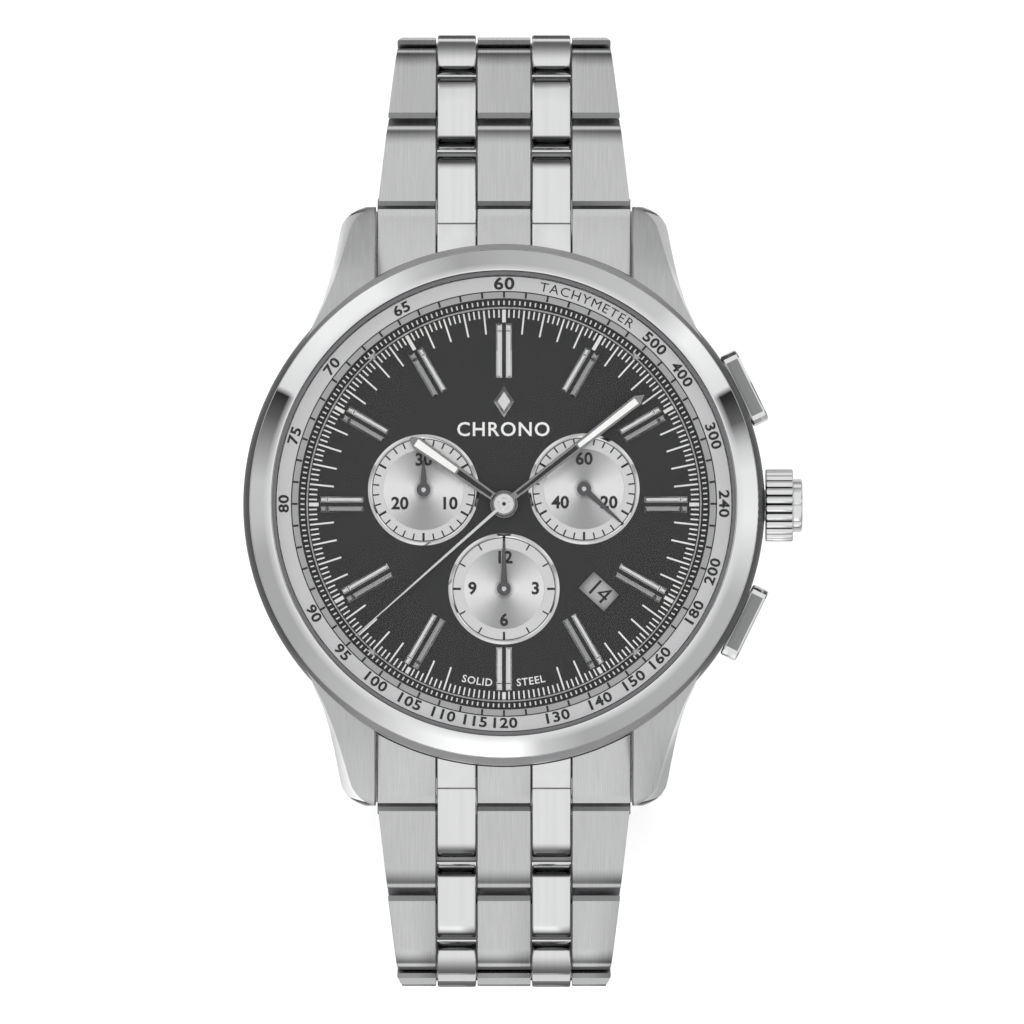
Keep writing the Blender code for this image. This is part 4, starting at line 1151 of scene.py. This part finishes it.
# ---- carried-over CAD nodes ----
CARRIED = (   # finish, whether the edges are rounded, nodes
    (TURNED, False, ("crown_tube", "stem", "start_pusher_tube", "reset_pusher_tube", "start_pusher_spring",
                     "reset_pusher_spring", "lug_spring_bar_12h", "lug_spring_bar_6h", "clasp_spring_bar",
                     "battery", "chrono_arbor", "hour_wheel", "cannon_pinion")),
    (LUG_BRUSHED, True, ("clasp_cover", "middle_blade", "inner_blade")),
    (POLISHED, True, ("clasp_button_left", "clasp_button_right")),
    (BRASS, False, ("main_plate", "setting_lever")),
    (SEAL, False, ("case_back_gasket",)),
    (SPACER, False, ("movement_holder",)),
    (BOARD, False, ("circuit_board",)))


def dress_carried():
    """Give the CAD nodes that stay their finishes, and round the edges of the clasp's parts."""
    for finish, rounded, nodes in CARRIED:
        for node in nodes:
            obj = frame["nodes"][node]
            for slot in obj.material_slots:
                slot.material = finish
            if rounded:
                rim = obj.modifiers.new("rim", "BEVEL")
                rim.width = 0.18 * MM
                rim.segments = 2
                rim.limit_method = "ANGLE"
                rim.angle_limit = math.radians(40)
                rim.harden_normals = True


# ---- floor and light ----
FLOOR_GLOW = 0.18
SOFT_LIGHT = 1.3                    # the world as matt surfaces and the camera see it
OVERHEAD = (0.46, 0.46, 0.46)       # half the brightness that steel reflects from overhead
OVERHEAD_FROM, OVERHEAD_TO = 0.35, 0.60   # Z of the direction where the panels give way to it
GROUND_FROM = -0.12                 # Z of the direction below which steel reflects the ground
GROUND_DIPS = (-0.15, -0.75)        # two such directions, and the ground's brightness at each
GROUND_TONES = (0.07, 0.75)
LAMP_AT = (-0.35, 0.45, 0.8)
LAMP_AIM = (0.0, 0.0, 0.04)
PANELS = (   # clock angle round the watch, and the brightness that steel reflects from the horizon there
    (-180, 1.4), (-168, 1.3), (-148, 0.75), (-138, 0.60), (-120, 0.50), (-100, 0.50), (-92, 0.66),
    (-83, 0.70), (-74.5, 0.39), (-67.6, 0.13), (-62.4, 0.04), (-61.6, 0.02), (-60.8, 0.90), (-45, 1.10),
    (-30, 1.10), (-20, 0.69), (-10, 0.47), (0, 0.55), (38, 0.72), (46, 1.15), (60.8, 0.95), (61.6, 0.02),
    (63, 0.035), (69, 0.15), (71.6, 0.45), (75, 0.78), (80, 1.0), (92, 1.06), (110, 0.58), (160, 0.50),
    (171, 0.75), (177, 1.4))


def make_floor():
    """White ground, just under the closed clasp, that steel doesn't reflect."""
    shape = bmesh.new()
    bmesh.ops.create_grid(shape, x_segments=1, y_segments=1, size=3.0)
    floor = from_bmesh("floor", shape)
    white = paint("floor_white", (0.93, 0.93, 0.93), 0.8, 0.01, 200.0, 0.0, 0.01)
    glow = white.node_tree.nodes["Principled BSDF"]
    glow.inputs["Emission Color"].default_value = (1.0, 1.0, 1.0, 1.0)
    glow.inputs["Emission Strength"].default_value = FLOOR_GLOW
    dressed(floor, white)
    floor.location.z = -0.02 * MM
    floor.visible_glossy = False


def horizon(tree, direction):
    """Half the brightness of the studio's panels, by the clock angle of a direction."""
    around = calc(tree, "ARCTAN2", direction["X"], direction["Y"])
    ramp = tree.nodes.new("ShaderNodeValToRGB")
    tree.links.new(ranged(tree, around, -math.pi, math.pi, 0.0, 1.0), ramp.inputs["Fac"])
    stops = ramp.color_ramp.elements
    while len(stops) > 1:
        stops.remove(stops[0])
    for index, (angle, tone) in enumerate(PANELS):
        place = (angle + 180.0) / 360.0
        stop = stops[0] if index == 0 else stops.new(place)
        stop.position = place
        stop.color = (tone / 2, tone / 2, tone / 2, 1.0)
    return ramp.outputs["Color"]


def make_world():
    """White to matt surfaces and the camera; to steel, a studio of light and dark panels."""
    world = bpy.data.worlds.new("studio")
    bpy.context.scene.world = world
    world.use_nodes = True
    tree = world.node_tree
    tree.nodes.clear()
    coordinates = tree.nodes.new("ShaderNodeTexCoord")
    direction = axes_of(tree, coordinates.outputs["Generated"])
    high = ranged(tree, direction["Z"], OVERHEAD_FROM, OVERHEAD_TO, 0.0, 1.0)
    above = mixed(tree, high, horizon(tree, direction), OVERHEAD)
    below = calc(tree, "LESS_THAN", direction["Z"], GROUND_FROM)
    ground = ranged(tree, direction["Z"], *GROUND_DIPS, *GROUND_TONES)
    studio = mixed(tree, below, mixed(tree, 1.0, above, above, "ADD"), ground)

    mix = tree.nodes.new("ShaderNodeMixShader")
    for slot, colour, strength in ((1, (1.0, 1.0, 1.0), SOFT_LIGHT), (2, studio, 1.0)):
        light = tree.nodes.new("ShaderNodeBackground")
        plug(tree, colour, light.inputs["Color"])
        light.inputs["Strength"].default_value = strength
        tree.links.new(light.outputs["Background"], mix.inputs[slot])
    path = tree.nodes.new("ShaderNodeLightPath")
    tree.links.new(path.outputs["Is Glossy Ray"], mix.inputs["Fac"])
    out = tree.nodes.new("ShaderNodeOutputWorld")
    tree.links.new(mix.outputs["Shader"], out.inputs["Surface"])


def make_lamp():
    """Softbox up to the left, unseen in reflections."""
    softbox = bpy.data.lights.new("softbox", "AREA")
    softbox.shape = "RECTANGLE"
    softbox.size = 0.5
    softbox.size_y = 0.35
    softbox.energy = 0.5
    lamp = bpy.data.objects.new("softbox", softbox)
    bpy.context.scene.collection.objects.link(lamp)
    lamp.visible_glossy = False
    lamp.location = LAMP_AT
    lamp.rotation_euler = (Vector(LAMP_AT) - Vector(LAMP_AIM)).to_track_quat("Z", "Y").to_euler()


make_case()
make_flange()
make_dial()
make_subdials()
make_date()
make_hands()
make_crown()
make_pushers()
make_bracelet()
make_back()
dress_carried()
make_floor()
make_world()
make_lamp()
